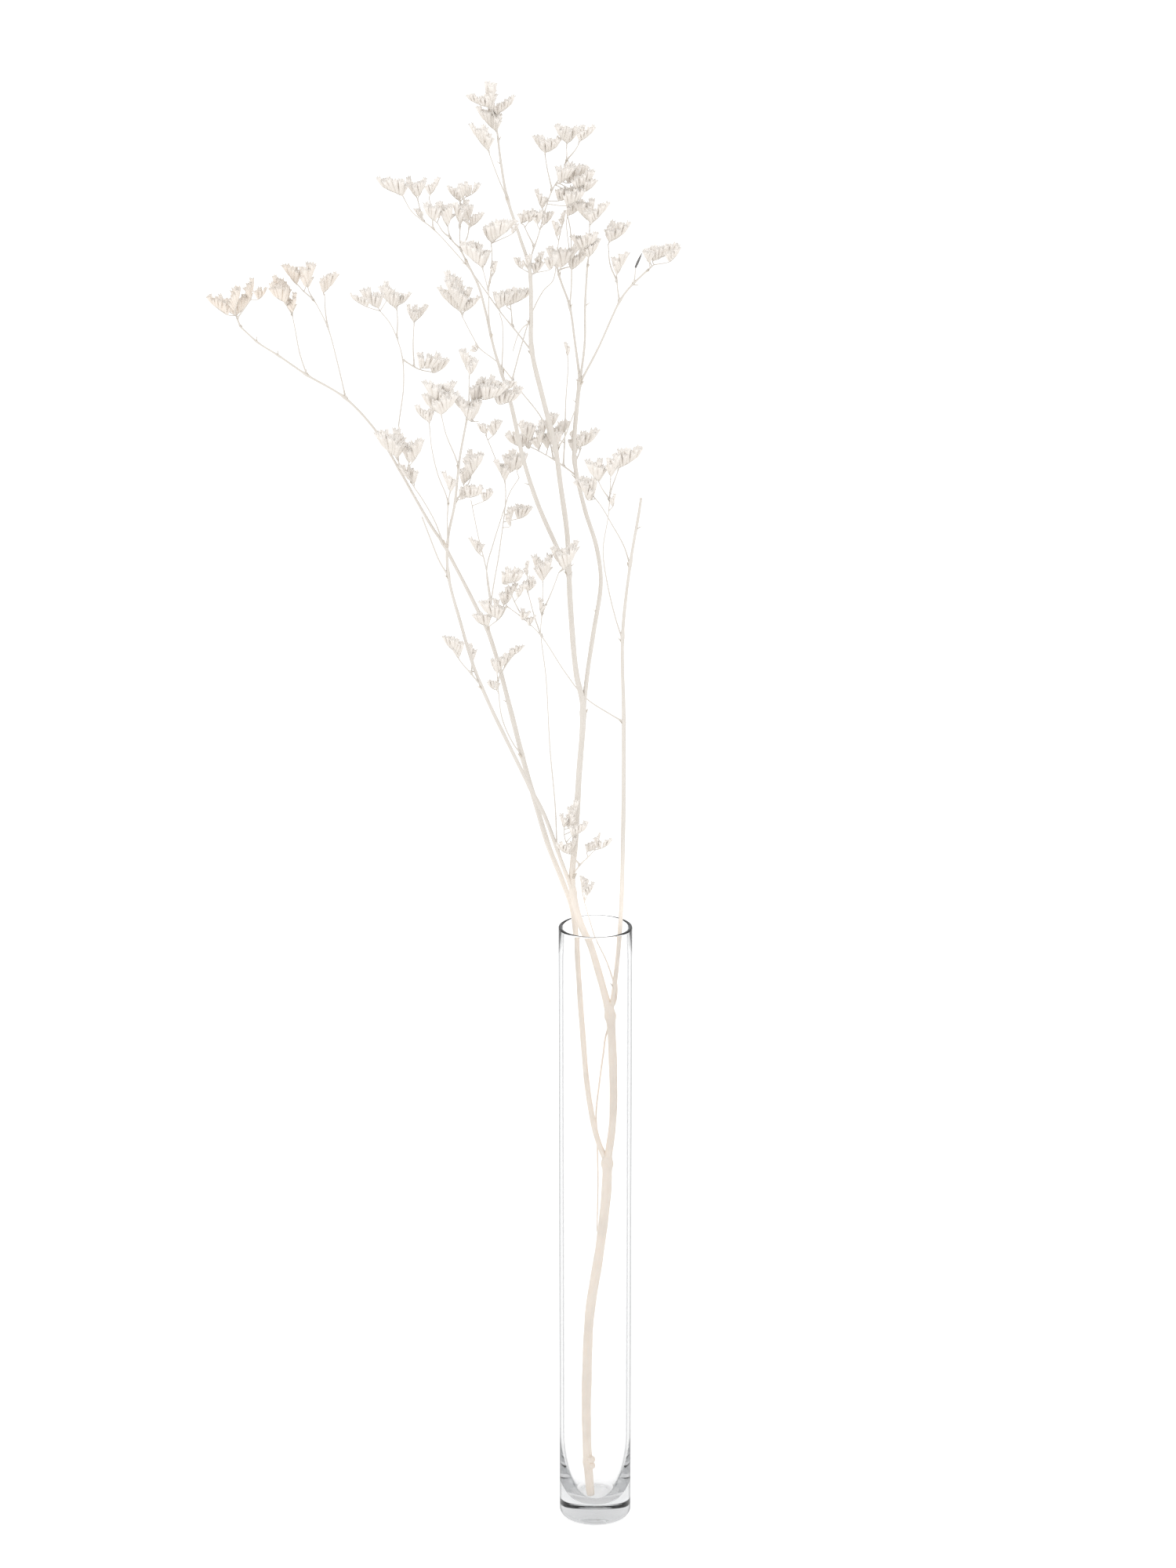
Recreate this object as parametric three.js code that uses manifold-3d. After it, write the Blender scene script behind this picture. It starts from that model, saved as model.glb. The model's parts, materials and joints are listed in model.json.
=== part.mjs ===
// A dried branch of statice (sea lavender) standing in a tall clear glass vase.
// Millimetres, +Z up, origin at the centre of the vase's underside.
//
// The branch is one woody stem with its forks (main_stem) and its flower sprays.
// A spray is its thin twigs and its combs: short flower stalks with a row of flared
// spikelets on the upper side. Twigs, combs and spikelets of a spray are one solid.

import * as THREE from "three";
import Module from "manifold-3d";
import { mergeVertices } from "three/addons/utils/BufferGeometryUtils.js";

const wasm = await Module();
wasm.setup();

// ---------------------------------------------------------------- driving dimensions
const VASE_HEIGHT = 347;
const VASE_RADIUS = 20;
const WALL = 2;
const FLOOR_THICKNESS = 9.5;
const FOOT_ROUNDING = 3;
const BOWL_TOP = 48; // the bore narrows below it to a round bottom
const BOWL_FLAT = 7; // radius of the flat middle of the bottom
const BOWL_STEPS = 7;
const RIM_ROUNDING = 0.35;
const VASE_SEGMENTS = 30;
const ROUNDING_STEPS = 2;

const GAP = 0.35; // between a spray and the stem that carries it
const STEM_SIDES = 5;
const STEM_STEP = 16; // length of one straight piece of a stem
const TWIG_SIDES = 3;
const TWIG_STEP = 14;
const TWIG_WIDTH = 1.1;
const LOOKUP_STEP = 0.5; // length between the points that a twig can start from
const SHORTEST_PIECE = 2;

const COMB_WIDTH = 1.1; // thickness of a flower stalk
const SPIKELET_SPACING = 3.3;
const MOUTH_ALONG = 2.2; // open end of a spikelet, along its comb
const MOUTH_ACROSS = 1.9; // the same, from front to back
const TIP_FLARE = 2.1; // how much the last spikelet of a comb widens
const TIP_LENGTH = 0.95; // its length, as a share of the others'
const SHORTEST_STALK = 1.2;
const FOOT_LEAN = 0.5; // how far a comb's first spikelet leans outwards from upright
const END_LEAN = 1; // how far its last spikelet leans along the comb from upright
const ROW_SPLAY = THREE.MathUtils.degToRad(22); // the two rows lean to the front and the back
const COMB_OFFSET = 5; // a spray's combs end in turn this far behind and before their twig
const FOOT_OFFSET = 3; // and start this far behind or before it
const COMB_SWING = 1.5; // both ends vary by up to this much
const COMB_ROOT_DROP = 2; // a comb's stalk leaves its twig this far below its foot
const SPLAY_SWING = 0.4; // how much the splay varies, as a share of it
const LENGTH_SWING = 0.1; // the same for a spikelet's length
const SWING_RATES = [1.7, 2.3]; // radians in a millimetre, no common multiple

const GLASS = { color: 0xdfe3e2, roughness: 0.05, metalness: 0 };
const WOOD = { color: 0xe6d3b8, roughness: 0.75, metalness: 0 };
const FLORET = { color: 0xe4d8c6, roughness: 0.85, metalness: 0 };

// Paths are lists of [x, z] or [x, z, y]. x and z are the place in the front elevation,
// which is drawn in perspective from EYE on the plane y = 0, and y is the depth. Where y
// is left out, it runs evenly from the last y given to the next one.
const EYE = new THREE.Vector3(-4, -2120, 1055);
const UP = new THREE.Vector3(0, 0, 1);

// ---------------------------------------------------------------- the woody stems
// on: the stem that it grows from. width: thickness at the foot and at the tip.
const STEMS = {
  trunk: {
    width: [4.8, 4.2],
    path: [[-2.8, 8, -4.5], [-3.7, 22], [-4.3, 32], [-5, 60], [-4.8, 80], [-3.2, 120], [2.5, 160],
      [6.2, 195], [6.6, 214, 0]],
  },
  left_stem: {
    on: "trunk",
    width: [2.8, 0.8],
    path: [[6.4, 210], [1.5, 223], [-3.8, 250], [-7.3, 290], [-10, 330, 8], [-12, 355, 11],
      [-18.2, 374, 13], [-25, 392], [-32, 416.5, 16], [-38.8, 441.7], [-46.1, 472, 18],
      [-52.7, 498], [-58.8, 516.5, 21], [-62.3, 523], [-67.6, 534], [-75.6, 550],
      [-79.9, 558.5, 26], [-85.5, 567], [-93.6, 581.5], [-103, 599, 33], [-115, 619.5],
      [-130.5, 636.5, 40], [-150, 648.5], [-165, 659, 46], [-175, 665.5], [-184, 674, 50]],
  },
  middle_stem: {
    on: "trunk",
    width: [4, 3.6],
    path: [[6.6, 209], [9.4, 232], [10, 250], [8.6, 290], [7.3, 303, -2]],
  },
  centre_stem: {
    on: "middle_stem",
    width: [3.4, 1],
    path: [[7.6, 296], [3, 316], [-2.5, 335], [-8.6, 350, -2], [-12.6, 371, 0], [-11, 395], [-9, 430],
      [-6.8, 470.6, 4], [-10.2, 488], [-13.3, 526], [-14.8, 563, 6], [-18.3, 590], [-21, 610],
      [-27.1, 635], [-33.2, 662.4, 9], [-33.4, 682], [-34.2, 704], [-39.3, 721], [-45.6, 741],
      [-48.5, 758, 12], [-50, 771, 12]],
  },
  right_stem: {
    on: "middle_stem",
    width: [2.2, 1.1],
    path: [[7.5, 296], [10.5, 315], [13.5, 350, -6], [14.8, 400], [15, 463, -16], [14.3, 509, -22],
      [18.5, 549.5], [22.7, 575], [23.8, 583, -32]],
  },
  front_stem: {
    on: "centre_stem",
    width: [1.9, 1],
    path: [[-12.3, 366], [-18.6, 384.4], [-27.4, 409.6, -6], [-35, 425, -10], [-45, 446.3],
      [-57.2, 473, -18], [-64.6, 492], [-70.7, 513.5], [-77.6, 542, -30], [-77.6, 561],
      [-73.8, 580], [-71.1, 603.5], [-66.9, 626, -38]],
  },
  bare_spur: {
    on: "front_stem",
    width: [0.9, 0.8],
    path: [[-77.6, 541], [-82, 549], [-87, 562], [-91, 573, -42]],
  },
  right_fork: {
    on: "centre_stem",
    width: [1.9, 1.3],
    path: [[-6.9, 466], [-4.1, 490], [-1, 511], [2.8, 538, 14], [0.5, 557], [-5.7, 577.5],
      [-11, 604, 26], [-9.5, 634], [-8, 646.5, 32]],
  },
  side_stem: {
    on: "centre_stem",
    width: [2, 1.1],
    path: [[-14.4, 543], [-20.9, 558], [-30.5, 580.5], [-37.8, 604, -6], [-44.3, 634],
      [-52.7, 662.4, -18], [-57, 682], [-60.5, 695], [-67, 708.5, -26]],
  },
  fork_left: {
    on: "right_fork",
    width: [1.1, 0.9],
    path: [[-8.1, 645], [-10.7, 665], [-13.5, 684.5, 40], [-17.5, 696], [-19.2, 701, 43]],
  },
  fork_middle: {
    on: "right_fork",
    width: [1.1, 0.9],
    path: [[-8, 645], [-5.7, 665], [-5.5, 684.5, 30], [-4.3, 706, 27]],
  },
  fork_right: {
    on: "right_fork",
    width: [1.1, 0.9],
    path: [[-8.1, 644], [1.2, 662.4], [12.9, 688, 20], [18.6, 695.4], [27, 703.5, 12]],
  },
};

// ---------------------------------------------------------------- the sprays
// twigs: the first grows from the stem named in on, each later one from an earlier twig.
// combs: [x, z] of the foot, [x, z] of the end, length of the spikelets.
const SPRAYS = {
  spray_collar: {
    on: "right_stem",
    twigs: [
      [[10.4, 314], [6, 327], [0, 340], [-3, 350], [-5.9, 360.5, -11]],
    ],
    combs: [[-7, 366, -7.4, 371, 5.5], [-4.5, 364.5, -2, 368, 4.5]],
  },
  spray_throat: {
    on: "centre_stem",
    twigs: [
      [[-11.7, 376], [-8, 382], [-4, 386, -9], [-0.5, 390, -12]],
      [[-8, 382], [-13, 388], [-16.5, 397], [-17, 403, -14]],
    ],
    combs: [[-4.5, 389, 0, 391, 5.2], [1.5, 390.5, 6, 392.5, 4.5], [-14, 388, -12, 391.5, 5],
      [-15, 388, -18.5, 390, 5], [-13, 401, -11, 411, 6.5], [-12.5, 398, -6.5, 401, 5.5],
      [-16.8, 402.5, -18, 406, 4.5]],
  },
  spray_fan: {
    on: "right_stem",
    twigs: [
      [[14.6, 462], [8, 465.6], [-5.6, 475, -20], [-16.3, 489], [-29, 509, -26], [-38, 518],
        [-47, 525, -32]],
      [[-29, 509], [-32.5, 520], [-35.5, 532, -22]],
      [[-38, 518], [-43.5, 529], [-46, 536.5, -38]],
      [[-47, 525], [-50, 519], [-56, 514, -30]],
    ],
    combs: [[-49, 537, -41, 538.5, 7.5], [-36, 533, -33, 535, 6.5], [-48.5, 525.5, -45.5, 528, 6],
      [-51.5, 518, -57.5, 521.5, 7], [-57, 514, -62, 516, 5.5], [-39, 517.5, -36.5, 518.5, 4.8]],
  },
  spray_veil: {
    on: "front_stem",
    twigs: [
      [[-21.2, 391], [-21.6, 415], [-24.3, 447], [-26.3, 486], [-29, 511, -10], [-28.2, 522],
        [-27.8, 537, -12]],
      [[-28.2, 521], [-23.2, 532.6], [-19.4, 543, -16]],
    ],
    combs: [[-27.8, 539.5, -30.5, 544.5, 7.5], [-27.8, 538.5, -25.4, 543.5, 8.5],
      [-17, 545, -20, 549.5, 8], [-16.5, 545, -13, 549, 8.5]],
  },
  spray_bend: {
    on: "front_stem",
    twigs: [
      [[-61.6, 481], [-66, 488], [-71, 494], [-75, 500, -32]],
      [[-66, 488], [-65.5, 494, -15]],
    ],
    combs: [[-75.5, 501, -78.5, 504, 5.5], [-72.5, 497, -71, 500.5, 6], [-65.5, 494.5, -67, 499, 6]],
  },
  spray_between: {
    on: "left_stem",
    twigs: [
      [[-39.6, 443], [-43.6, 449, 13], [-49.6, 463], [-51.5, 478], [-52.3, 489, 4]],
      [[-51.8, 484], [-46, 495], [-42, 499.5, -2]],
    ],
    combs: [[-52.5, 479, -55.5, 480.5, 4.5], [-52, 488.5, -49, 492.5, 6.8],
      [-52.3, 488.5, -54.5, 492, 5.5], [-43.5, 498.5, -40, 500.5, 4]],
  },
  spray_elbow: {
    on: "left_stem",
    twigs: [
      [[-58.4, 513], [-55.6, 524, 15], [-53.8, 536], [-50.4, 556], [-47.3, 590, 4], [-51.2, 601],
        [-55.8, 613], [-57.5, 617, 0]],
      [[-55.2, 525], [-57.3, 545], [-54, 558, 26], [-48, 577], [-45, 586], [-40, 594, 28]],
      [[-55, 527], [-57.7, 545.6], [-61.5, 562, 8], [-65.3, 582, 4]],
    ],
    combs: [[-41, 572, -37, 573.5, 6.8], [-44.8, 568, -44.5, 572, 6.5], [-61, 553, -64, 557, 5.5],
      [-58.5, 581.5, -55.5, 583.5, 5], [-57, 617.5, -60, 619, 4.5], [-53.5, 616.5, -51.2, 619.5, 6],
      [-46, 596, -40.5, 600, 8], [-47.5, 592.5, -49.8, 597, 6.5]],
  },
  spray_heart: {
    on: "front_stem",
    twigs: [
      [[-73.6, 581], [-70, 586, -30], [-66.5, 591], [-64.5, 597, -24]],
    ],
    combs: [[-69, 590.5, -64.5, 596, 8.5], [-65, 596, -61, 601, 8], [-70.5, 582.5, -66.5, 584.5, 6],
      [-66.5, 583.5, -61, 585, 5.5]],
  },
  spray_left_twin: {
    on: "front_stem",
    twigs: [
      [[-77.7, 558], [-77.8, 572], [-77.6, 582, -40], [-82.6, 596], [-85.6, 610], [-86.5, 620, -34]],
      [[-77.6, 581], [-76.2, 587, -44]],
    ],
    combs: [[-87, 623.5, -92.5, 628.5, 5.2], [-76, 586.5, -77.8, 591, 6.5],
      [-86.5, 623.5, -85, 627, 5.5]],
  },
  spray_big_fan: {
    on: "front_stem",
    twigs: [
      [[-71.4, 600], [-73.6, 606, -40], [-78, 617], [-80.3, 627, -54]],
    ],
    combs: [[-80.5, 627.5, -87, 632.5, 8], [-80.3, 627.5, -76, 631.5, 9], [-80.5, 628, -81, 636, 8],
      [-81, 634, -85.5, 638, 7.5], [-80, 634, -76.5, 638, 7.5]],
  },
  spray_shoulder: {
    on: "front_stem",
    twigs: [
      [[-66.9, 626], [-66, 634, -42], [-65.8, 648, -46]],
      [[-66.1, 632], [-60, 636.5, -36], [-50, 640], [-43, 643, -28]],
      [[-66.5, 630], [-63.5, 624, -46], [-61, 624, -48]],
    ],
    combs: [[-65.5, 649, -68.5, 655.5, 7], [-65.5, 648.5, -63, 651.5, 5.5],
      [-64, 634, -58.5, 637, 7.5], [-58, 635.5, -51, 637.5, 7.5], [-61, 638.5, -56, 641, 7.2],
      [-56, 638.5, -51, 640, 6.8], [-50.5, 633, -43, 635, 6.5], [-50, 640, -43.5, 642, 4.5],
      [-65, 624, -62, 628, 8], [-67, 629, -71, 631.5, 6.5]],
  },
  spray_left_low: {
    on: "left_stem",
    twigs: [
      [[-79.1, 559], [-84.5, 571, 23], [-91, 583], [-96, 591, 20], [-98, 601, 18]],
      [[-96, 592], [-101.5, 600], [-104.5, 605, 12]],
    ],
    combs: [[-95, 591, -99.5, 595, 7], [-96, 602, -92.5, 607, 8], [-97.5, 602, -100, 607, 7.5],
      [-104, 605, -110, 610, 9.5], [-103.6, 605, -104, 611.5, 8.5]],
  },
  spray_left_high: {
    on: "left_stem",
    twigs: [
      [[-102.8, 599], [-102.8, 620, 29], [-99.9, 642], [-100.2, 657, 24], [-103.2, 668.5],
        [-106.7, 676], [-111.5, 682, 14]],
      [[-100.2, 656], [-91.7, 651.5], [-85, 650, 30]],
      [[-103.2, 668.5], [-102.5, 677], [-102.8, 683, 28]],
      [[-94, 652.5], [-94.6, 665], [-94, 675, 38]],
    ],
    combs: [[-112.5, 683.5, -117.5, 686.5, 7.8], [-118, 684, -125, 688, 3.8],
      [-103.5, 683.5, -108.5, 688, 7.5], [-108, 688, -108.5, 692, 6], [-102, 685, -98, 687.5, 4.5],
      [-94.2, 676.5, -96.3, 680, 5.5], [-93.5, 676.5, -88.5, 681.5, 4.6],
      [-91, 652, -84.5, 652.5, 7.8], [-84.5, 649.5, -80, 651.5, 6.8]],
  },
  spray_far_tip: {
    on: "left_stem",
    twigs: [
      [[-184, 674], [-186, 679.5, 51]],
      [[-185.4, 678], [-181, 684, 46], [-178, 688, 42]],
    ],
    combs: [[-186, 679.5, -191, 683, 7.5], [-190.5, 680, -198, 685.5, 5.8],
      [-185.5, 680, -181, 684.5, 7.5], [-174.5, 688, -171.5, 690.5, 4.8],
      [-178, 688.5, -177.5, 692, 7]],
  },
  spray_far_high: {
    on: "left_stem",
    twigs: [
      [[-130, 636], [-134, 655, 44], [-138.5, 673], [-143, 683], [-148, 692, 40]],
      [[-138.7, 673.5], [-139.8, 683], [-140, 691, 54]],
      [[-146, 688.5], [-151, 692.5], [-154, 696, 34]],
    ],
    combs: [[-154.5, 696, -158, 700.5, 7], [-149.5, 694.5, -147, 699.5, 8],
      [-140.5, 691.5, -137, 695, 7.3], [-148.5, 694, -150.5, 698.5, 6.5]],
  },
  spray_far_low: {
    on: "left_stem",
    twigs: [
      [[-150, 648.5], [-153.5, 660, 42], [-155.5, 672], [-157, 680.5, 36]],
      [[-157, 680], [-160, 685.5], [-161.5, 690, 30]],
    ],
    combs: [[-157, 681, -160, 685, 6], [-160.5, 686.5, -165.5, 689.5, 7.5],
      [-161.5, 690, -164.5, 694.5, 6]],
  },
  spray_inner: {
    on: "right_fork",
    twigs: [
      [[-9.6, 595], [-16.4, 600, 26], [-24, 605], [-33, 610], [-38, 612.5, 22]],
      [[-22, 604], [-23.5, 612], [-24.5, 618.5, 32]],
      [[-17, 601], [-16, 618, 30], [-15.6, 634], [-14.4, 652], [-14.6, 659, 26]],
    ],
    combs: [[-38.5, 610.5, -43.5, 612.5, 6.5], [-34, 614, -37.5, 617, 7.5], [-28, 613, -27, 618.5, 7],
      [-24.5, 619, -22, 622.5, 7], [-19.5, 615, -16.5, 618.5, 6.8], [-14.6, 658.5, -15.4, 662, 4]],
  },
  spray_knuckle: {
    on: "right_fork",
    twigs: [
      [[-10.9, 602], [-8.6, 607, 34], [-7.5, 610, 42]],
    ],
    combs: [[-8, 610.5, -3, 613, 7.5], [-9, 610.5, -12, 614.5, 5.5]],
  },
  spray_right_low: {
    on: "right_stem",
    twigs: [
      [[14.3, 506], [10.6, 518], [6.2, 537, -26], [3.9, 555], [6.6, 573.6], [7.8, 592, -33]],
      [[7.4, 583], [3.5, 588], [1.5, 592, -40]],
      [[7.6, 586], [10, 593], [12, 598.5, -26]],
    ],
    combs: [[1.5, 592, -2, 596, 7.5], [8, 595, 9.8, 599, 6.5], [12, 599, 21, 604.5, 7.5],
      [9, 578.5, 9.6, 582, 3.8]],
  },
  spray_right_cross: {
    on: "right_stem",
    twigs: [
      [[18.4, 547], [15, 557, -24], [8, 570], [2.8, 579], [-1, 584, -12]],
    ],
    combs: [[-2.5, 582.5, -6, 586.5, 8.5], [-2, 586, -7.5, 588, 7.5], [-1, 584, -0.6, 588.5, 6]],
  },
  spray_back_left: {
    on: "centre_stem",
    twigs: [
      [[-20.8, 609], [-28.6, 626.4, 15], [-39, 640], [-49.7, 654, 24], [-60.4, 662.8], [-63.4, 668],
        [-69, 679, 34]],
      [[-44, 646], [-38.5, 664, 30], [-33, 681], [-27, 692.6, 29], [-22, 698], [-20, 712],
        [-18.8, 720, 26]],
    ],
    combs: [[-70, 681.5, -78, 688.5, 7.5], [-69.3, 682, -74.5, 691, 8.5], [-71, 689, -74.5, 694.5, 8],
      [-68, 681.5, -63, 685, 5], [-60.8, 663, -62.5, 660.5, 3.5], [-20, 720.5, -21, 724, 5.5],
      [-17.3, 726, -16, 731, 4.5]],
  },
  spray_arm: {
    on: "centre_stem",
    twigs: [
      [[-33.2, 660], [-40.1, 670, 13], [-49.7, 682], [-57, 692.5], [-66, 705], [-72, 712, 20],
        [-83, 724], [-94.5, 733.5], [-98.5, 740.5, 26]],
      [[-88, 728.5], [-90, 734], [-91.5, 740, 32]],
      [[-83, 724.5], [-84.5, 735], [-85.6, 741, 14]],
      [[-43.5, 674], [-43.5, 680], [-44, 685, 22]],
    ],
    combs: [[-99.5, 742, -109, 746, 6.2], [-99, 741.5, -104, 744, 8], [-92, 741, -94.8, 744.5, 6.5],
      [-91, 741, -89, 744.5, 6.5], [-89.5, 730, -92, 732.5, 3.6], [-85, 742, -82, 746, 5],
      [-50.5, 683, -51.8, 687, 5.5], [-46, 684.5, -40, 687.5, 7.3], [-43.8, 685.5, -36.5, 689, 5.5]],
  },
  spray_side_top: {
    on: "side_stem",
    twigs: [
      [[-67, 708.5], [-69, 713, -28], [-70, 720], [-69.6, 727, -31]],
      [[-69.2, 715], [-66.2, 720], [-65.2, 726, -20]],
      [[-69.2, 714], [-74.5, 719.5], [-76.4, 727, -36]],
      [[-74.5, 719.5], [-78.5, 723], [-81.5, 728, -44]],
      [[-69.7, 725], [-70, 733], [-69.6, 739, -30]],
    ],
    combs: [[-77, 727, -79, 731.5, 7.5], [-82.5, 728.5, -86, 731.5, 6.3], [-69.4, 727, -67.5, 732, 8],
      [-64.5, 725.5, -59.8, 729, 5], [-70, 739, -74, 742.5, 4.8], [-68.5, 740, -66.5, 744, 6],
      [-66.5, 741, -62, 743.5, 5.2]],
  },
  spray_side_low: {
    on: "side_stem",
    twigs: [
      [[-54.4, 669], [-55.4, 681, -24], [-55.4, 691], [-57, 699], [-58.5, 704.5, -34]],
      [[-55.6, 693], [-53.8, 700], [-52.6, 703, -22]],
      [[-54.6, 697], [-53.4, 710], [-53.8, 717, -28]],
    ],
    combs: [[-58.6, 705.5, -62, 711.5, 7.5], [-59, 705, -66, 711, 8], [-58, 705, -56, 708.5, 6],
      [-52.5, 701.5, -51.5, 704.5, 4], [-54, 718, -56.5, 721, 6], [-53.6, 718, -47, 722.5, 8.3],
      [-49, 721, -44, 725, 5.2]],
  },
  spray_crown: {
    on: "centre_stem",
    twigs: [
      [[-50, 771], [-51, 779, 12], [-53.4, 788, 12], [-54, 795, 12]],
    ],
    combs: [[-51, 774.5, -57, 780.5, 7.2], [-53, 786, -63.5, 790, 4.5], [-50.5, 783, -43.5, 788, 5.5],
      [-54, 787, -55, 792.5, 7.5]],
  },
  spray_crown_left: {
    on: "centre_stem",
    twigs: [
      [[-45.6, 740], [-49.7, 750, 5], [-54.3, 762.6, 2]],
    ],
    combs: [[-55, 764.5, -61.5, 772.5, 6.5], [-54.8, 766, -57, 772, 5.5]],
  },
  spray_crown_right: {
    on: "centre_stem",
    twigs: [
      [[-34.2, 700], [-33, 711, 16], [-29.6, 721], [-25.6, 735.6, 24], [-22.2, 745], [-18, 752],
        [-15, 761, 32], [-15, 767.5, 32]],
      [[-22.6, 744], [-25, 756], [-26, 763, 40]],
      [[-15.3, 760], [-10.5, 765], [-8.3, 769, 24]],
      [[-31.2, 716], [-35, 722], [-37, 726.5, 22]],
    ],
    combs: [[-38, 704, -40.5, 706, 4.5], [-18.5, 748, -14, 751, 8.5], [-14, 748, -7, 752, 8],
      [-10, 744.5, -3.5, 749.5, 6.5], [-19, 739, -13, 741, 6.5], [-26, 763.5, -21, 766, 7],
      [-26, 763.5, -30, 768, 6.3], [-15, 768.5, -18.5, 772.5, 7], [-14.5, 768.5, -11.5, 771, 6.8],
      [-8, 769.5, -2.5, 773.5, 4.6], [-38.5, 727.5, -35, 729, 6], [-30, 727, -28.5, 729.5, 5.5],
      [-27.5, 735, -29.8, 740.5, 5.5]],
  },
  spray_fork_left: {
    on: "fork_left",
    twigs: [
      [[-19.2, 701], [-19.8, 704, 44]],
      [[-19.6, 703], [-15.5, 704.5], [-12.5, 705, 40]],
    ],
    combs: [[-20, 704, -22.8, 708.5, 7.5], [-18, 704.5, -14, 708, 9], [-12.5, 703.5, -7.5, 707.5, 7.5]],
  },
  spray_fork_middle: {
    on: "fork_middle",
    twigs: [
      [[-4.3, 706], [-3.4, 713, 25], [-3.2, 727.5, 21]],
    ],
    combs: [[-4.2, 710.5, -9, 715, 7.5], [-3.6, 710, -0.5, 713.5, 6.5], [-3, 728, -8.5, 733.5, 7],
      [-2, 727.5, 4, 733.5, 6]],
  },
  spray_fork_right: {
    on: "fork_right",
    twigs: [
      [[27, 703.5], [30, 706, 10]],
    ],
    combs: [[28, 708, 41, 713, 6], [27.5, 707, 26, 709.5, 6], [29.5, 708, 35, 710.5, 7.2]],
  },
  spray_fork_twin: {
    on: "fork_right",
    twigs: [
      [[12.4, 687], [11.2, 694, 24], [10.8, 700.5, 26]],
      [[11, 697], [7.4, 706], [6.4, 716.5, 33]],
    ],
    combs: [[10.8, 701, 9.5, 705, 5], [11, 701, 13.5, 705.5, 7], [7, 718, 8.5, 723, 5.8],
      [7.5, 718, 14, 722, 7]],
  },
};

// ---------------------------------------------------------------- curves
function placed(x, z, y) {
  const reach = (y - EYE.y) / -EYE.y;
  return new THREE.Vector3(EYE.x + (x - EYE.x) * reach, y, EYE.z + (z - EYE.z) * reach);
}

// Fills in the depths that a path leaves out, evenly along its length.
function withDepths(path, firstDepth) {
  const along = [0];
  for (let i = 1; i < path.length; i += 1) {
    const step = Math.hypot(path[i][0] - path[i - 1][0], path[i][1] - path[i - 1][1]);
    along.push(along[i - 1] + step);
  }
  const known = path.map((point, i) => (i === 0 && firstDepth !== undefined ? firstDepth : point[2]));
  return path.map(([x, z], i) => {
    let before = i;
    let after = i;
    while (known[before] === undefined) before -= 1;
    while (known[after] === undefined) after += 1;
    const span = along[after] - along[before] || 1;
    const share = (along[i] - along[before]) / span;
    const y = known[before] + (known[after] - known[before]) * share;
    return new THREE.Vector3(x, y, z);
  });
}

// A line of straight pieces, each about as long as step, along the smooth curve through a
// path. Its spots are close together, and those at the ends of a piece are its corners.
function lineOf(path, width, step, firstDepth) {
  const curve = new THREE.CatmullRomCurve3(withDepths(path, firstDepth), false, "centripetal");
  const pieces = Math.max(1, Math.round(curve.getLength() / step));
  const corners = curve.getSpacedPoints(pieces);
  const spots = [];
  const addSpot = (x, y, z, share, isCorner) => {
    const radius = (width[0] + (width[1] - width[0]) * share) / 2;
    spots.push({ x, y, z, at: placed(x, z, y), radius, isCorner });
  };
  for (let i = 0; i < pieces; i += 1) {
    const parts = Math.ceil(corners[i].distanceTo(corners[i + 1]) / LOOKUP_STEP);
    for (let k = 0; k < parts; k += 1) {
      const spot = corners[i].clone().lerp(corners[i + 1], k / parts);
      addSpot(spot.x, spot.y, spot.z, (i + k / parts) / pieces, k === 0);
    }
  }
  const tip = corners[pieces];
  addSpot(tip.x, tip.y, tip.z, 1, true);
  return spots;
}

function nearestSpot(lines, x, z) {
  let best = null;
  let least = Infinity;
  for (const line of lines) {
    for (const spot of line) {
      const distance = Math.hypot(spot.x - x, spot.z - z);
      if (distance < least) {
        least = distance;
        best = spot;
      }
    }
  }
  return best;
}

// A line that grows from one of the given lines: it starts on that line's centre.
function grownLine(path, width, step, parents) {
  const [x, z] = path[0];
  const root = nearestSpot(parents, x, z);
  const rooted = [[root.x, root.z, root.y], ...path.slice(1)];
  return lineOf(rooted, width, step, root.y);
}

// Drops the first stretch of a line, until its flat end is clear of the stem that carries it.
function clearOf(line, carrier) {
  const tip = carrier[carrier.length - 1];
  const first = line.findIndex((spot, i) => {
    let least = Infinity;
    let nearest = null;
    for (const other of carrier) {
      const distance = spot.at.distanceTo(other.at);
      if (distance < least) {
        least = distance;
        nearest = other;
      }
    }
    const heading = line[i + 1].at.clone().sub(spot.at).normalize();
    const inward = nearest.at.clone().sub(spot.at).normalize();
    const endReach = spot.radius * Math.sqrt(1 - heading.dot(inward) ** 2);
    const taken = nearest === tip ? 0 : nearest.radius + endReach;
    return least > taken + GAP;
  });
  return line.slice(first);
}

// ---------------------------------------------------------------- solids
function solidOf(positions, triangles) {
  const mesh = new wasm.Mesh({
    numProp: 3,
    vertProperties: Float32Array.from(positions),
    triVerts: Uint32Array.from(triangles),
  });
  return new wasm.Manifold(mesh);
}

function solidOfGeometry(geometry) {
  const bare = geometry.clone();
  bare.deleteAttribute("normal");
  bare.deleteAttribute("uv");
  const merged = mergeVertices(bare, 1e-4);
  return solidOf(merged.attributes.position.array, merged.index.array);
}

function geometryOf(solid) {
  const mesh = solid.getMesh();
  const geometry = new THREE.BufferGeometry();
  geometry.setAttribute("position", new THREE.BufferAttribute(mesh.vertProperties, 3));
  geometry.setIndex(new THREE.BufferAttribute(mesh.triVerts, 1));
  geometry.computeVertexNormals();
  return geometry;
}

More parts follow.
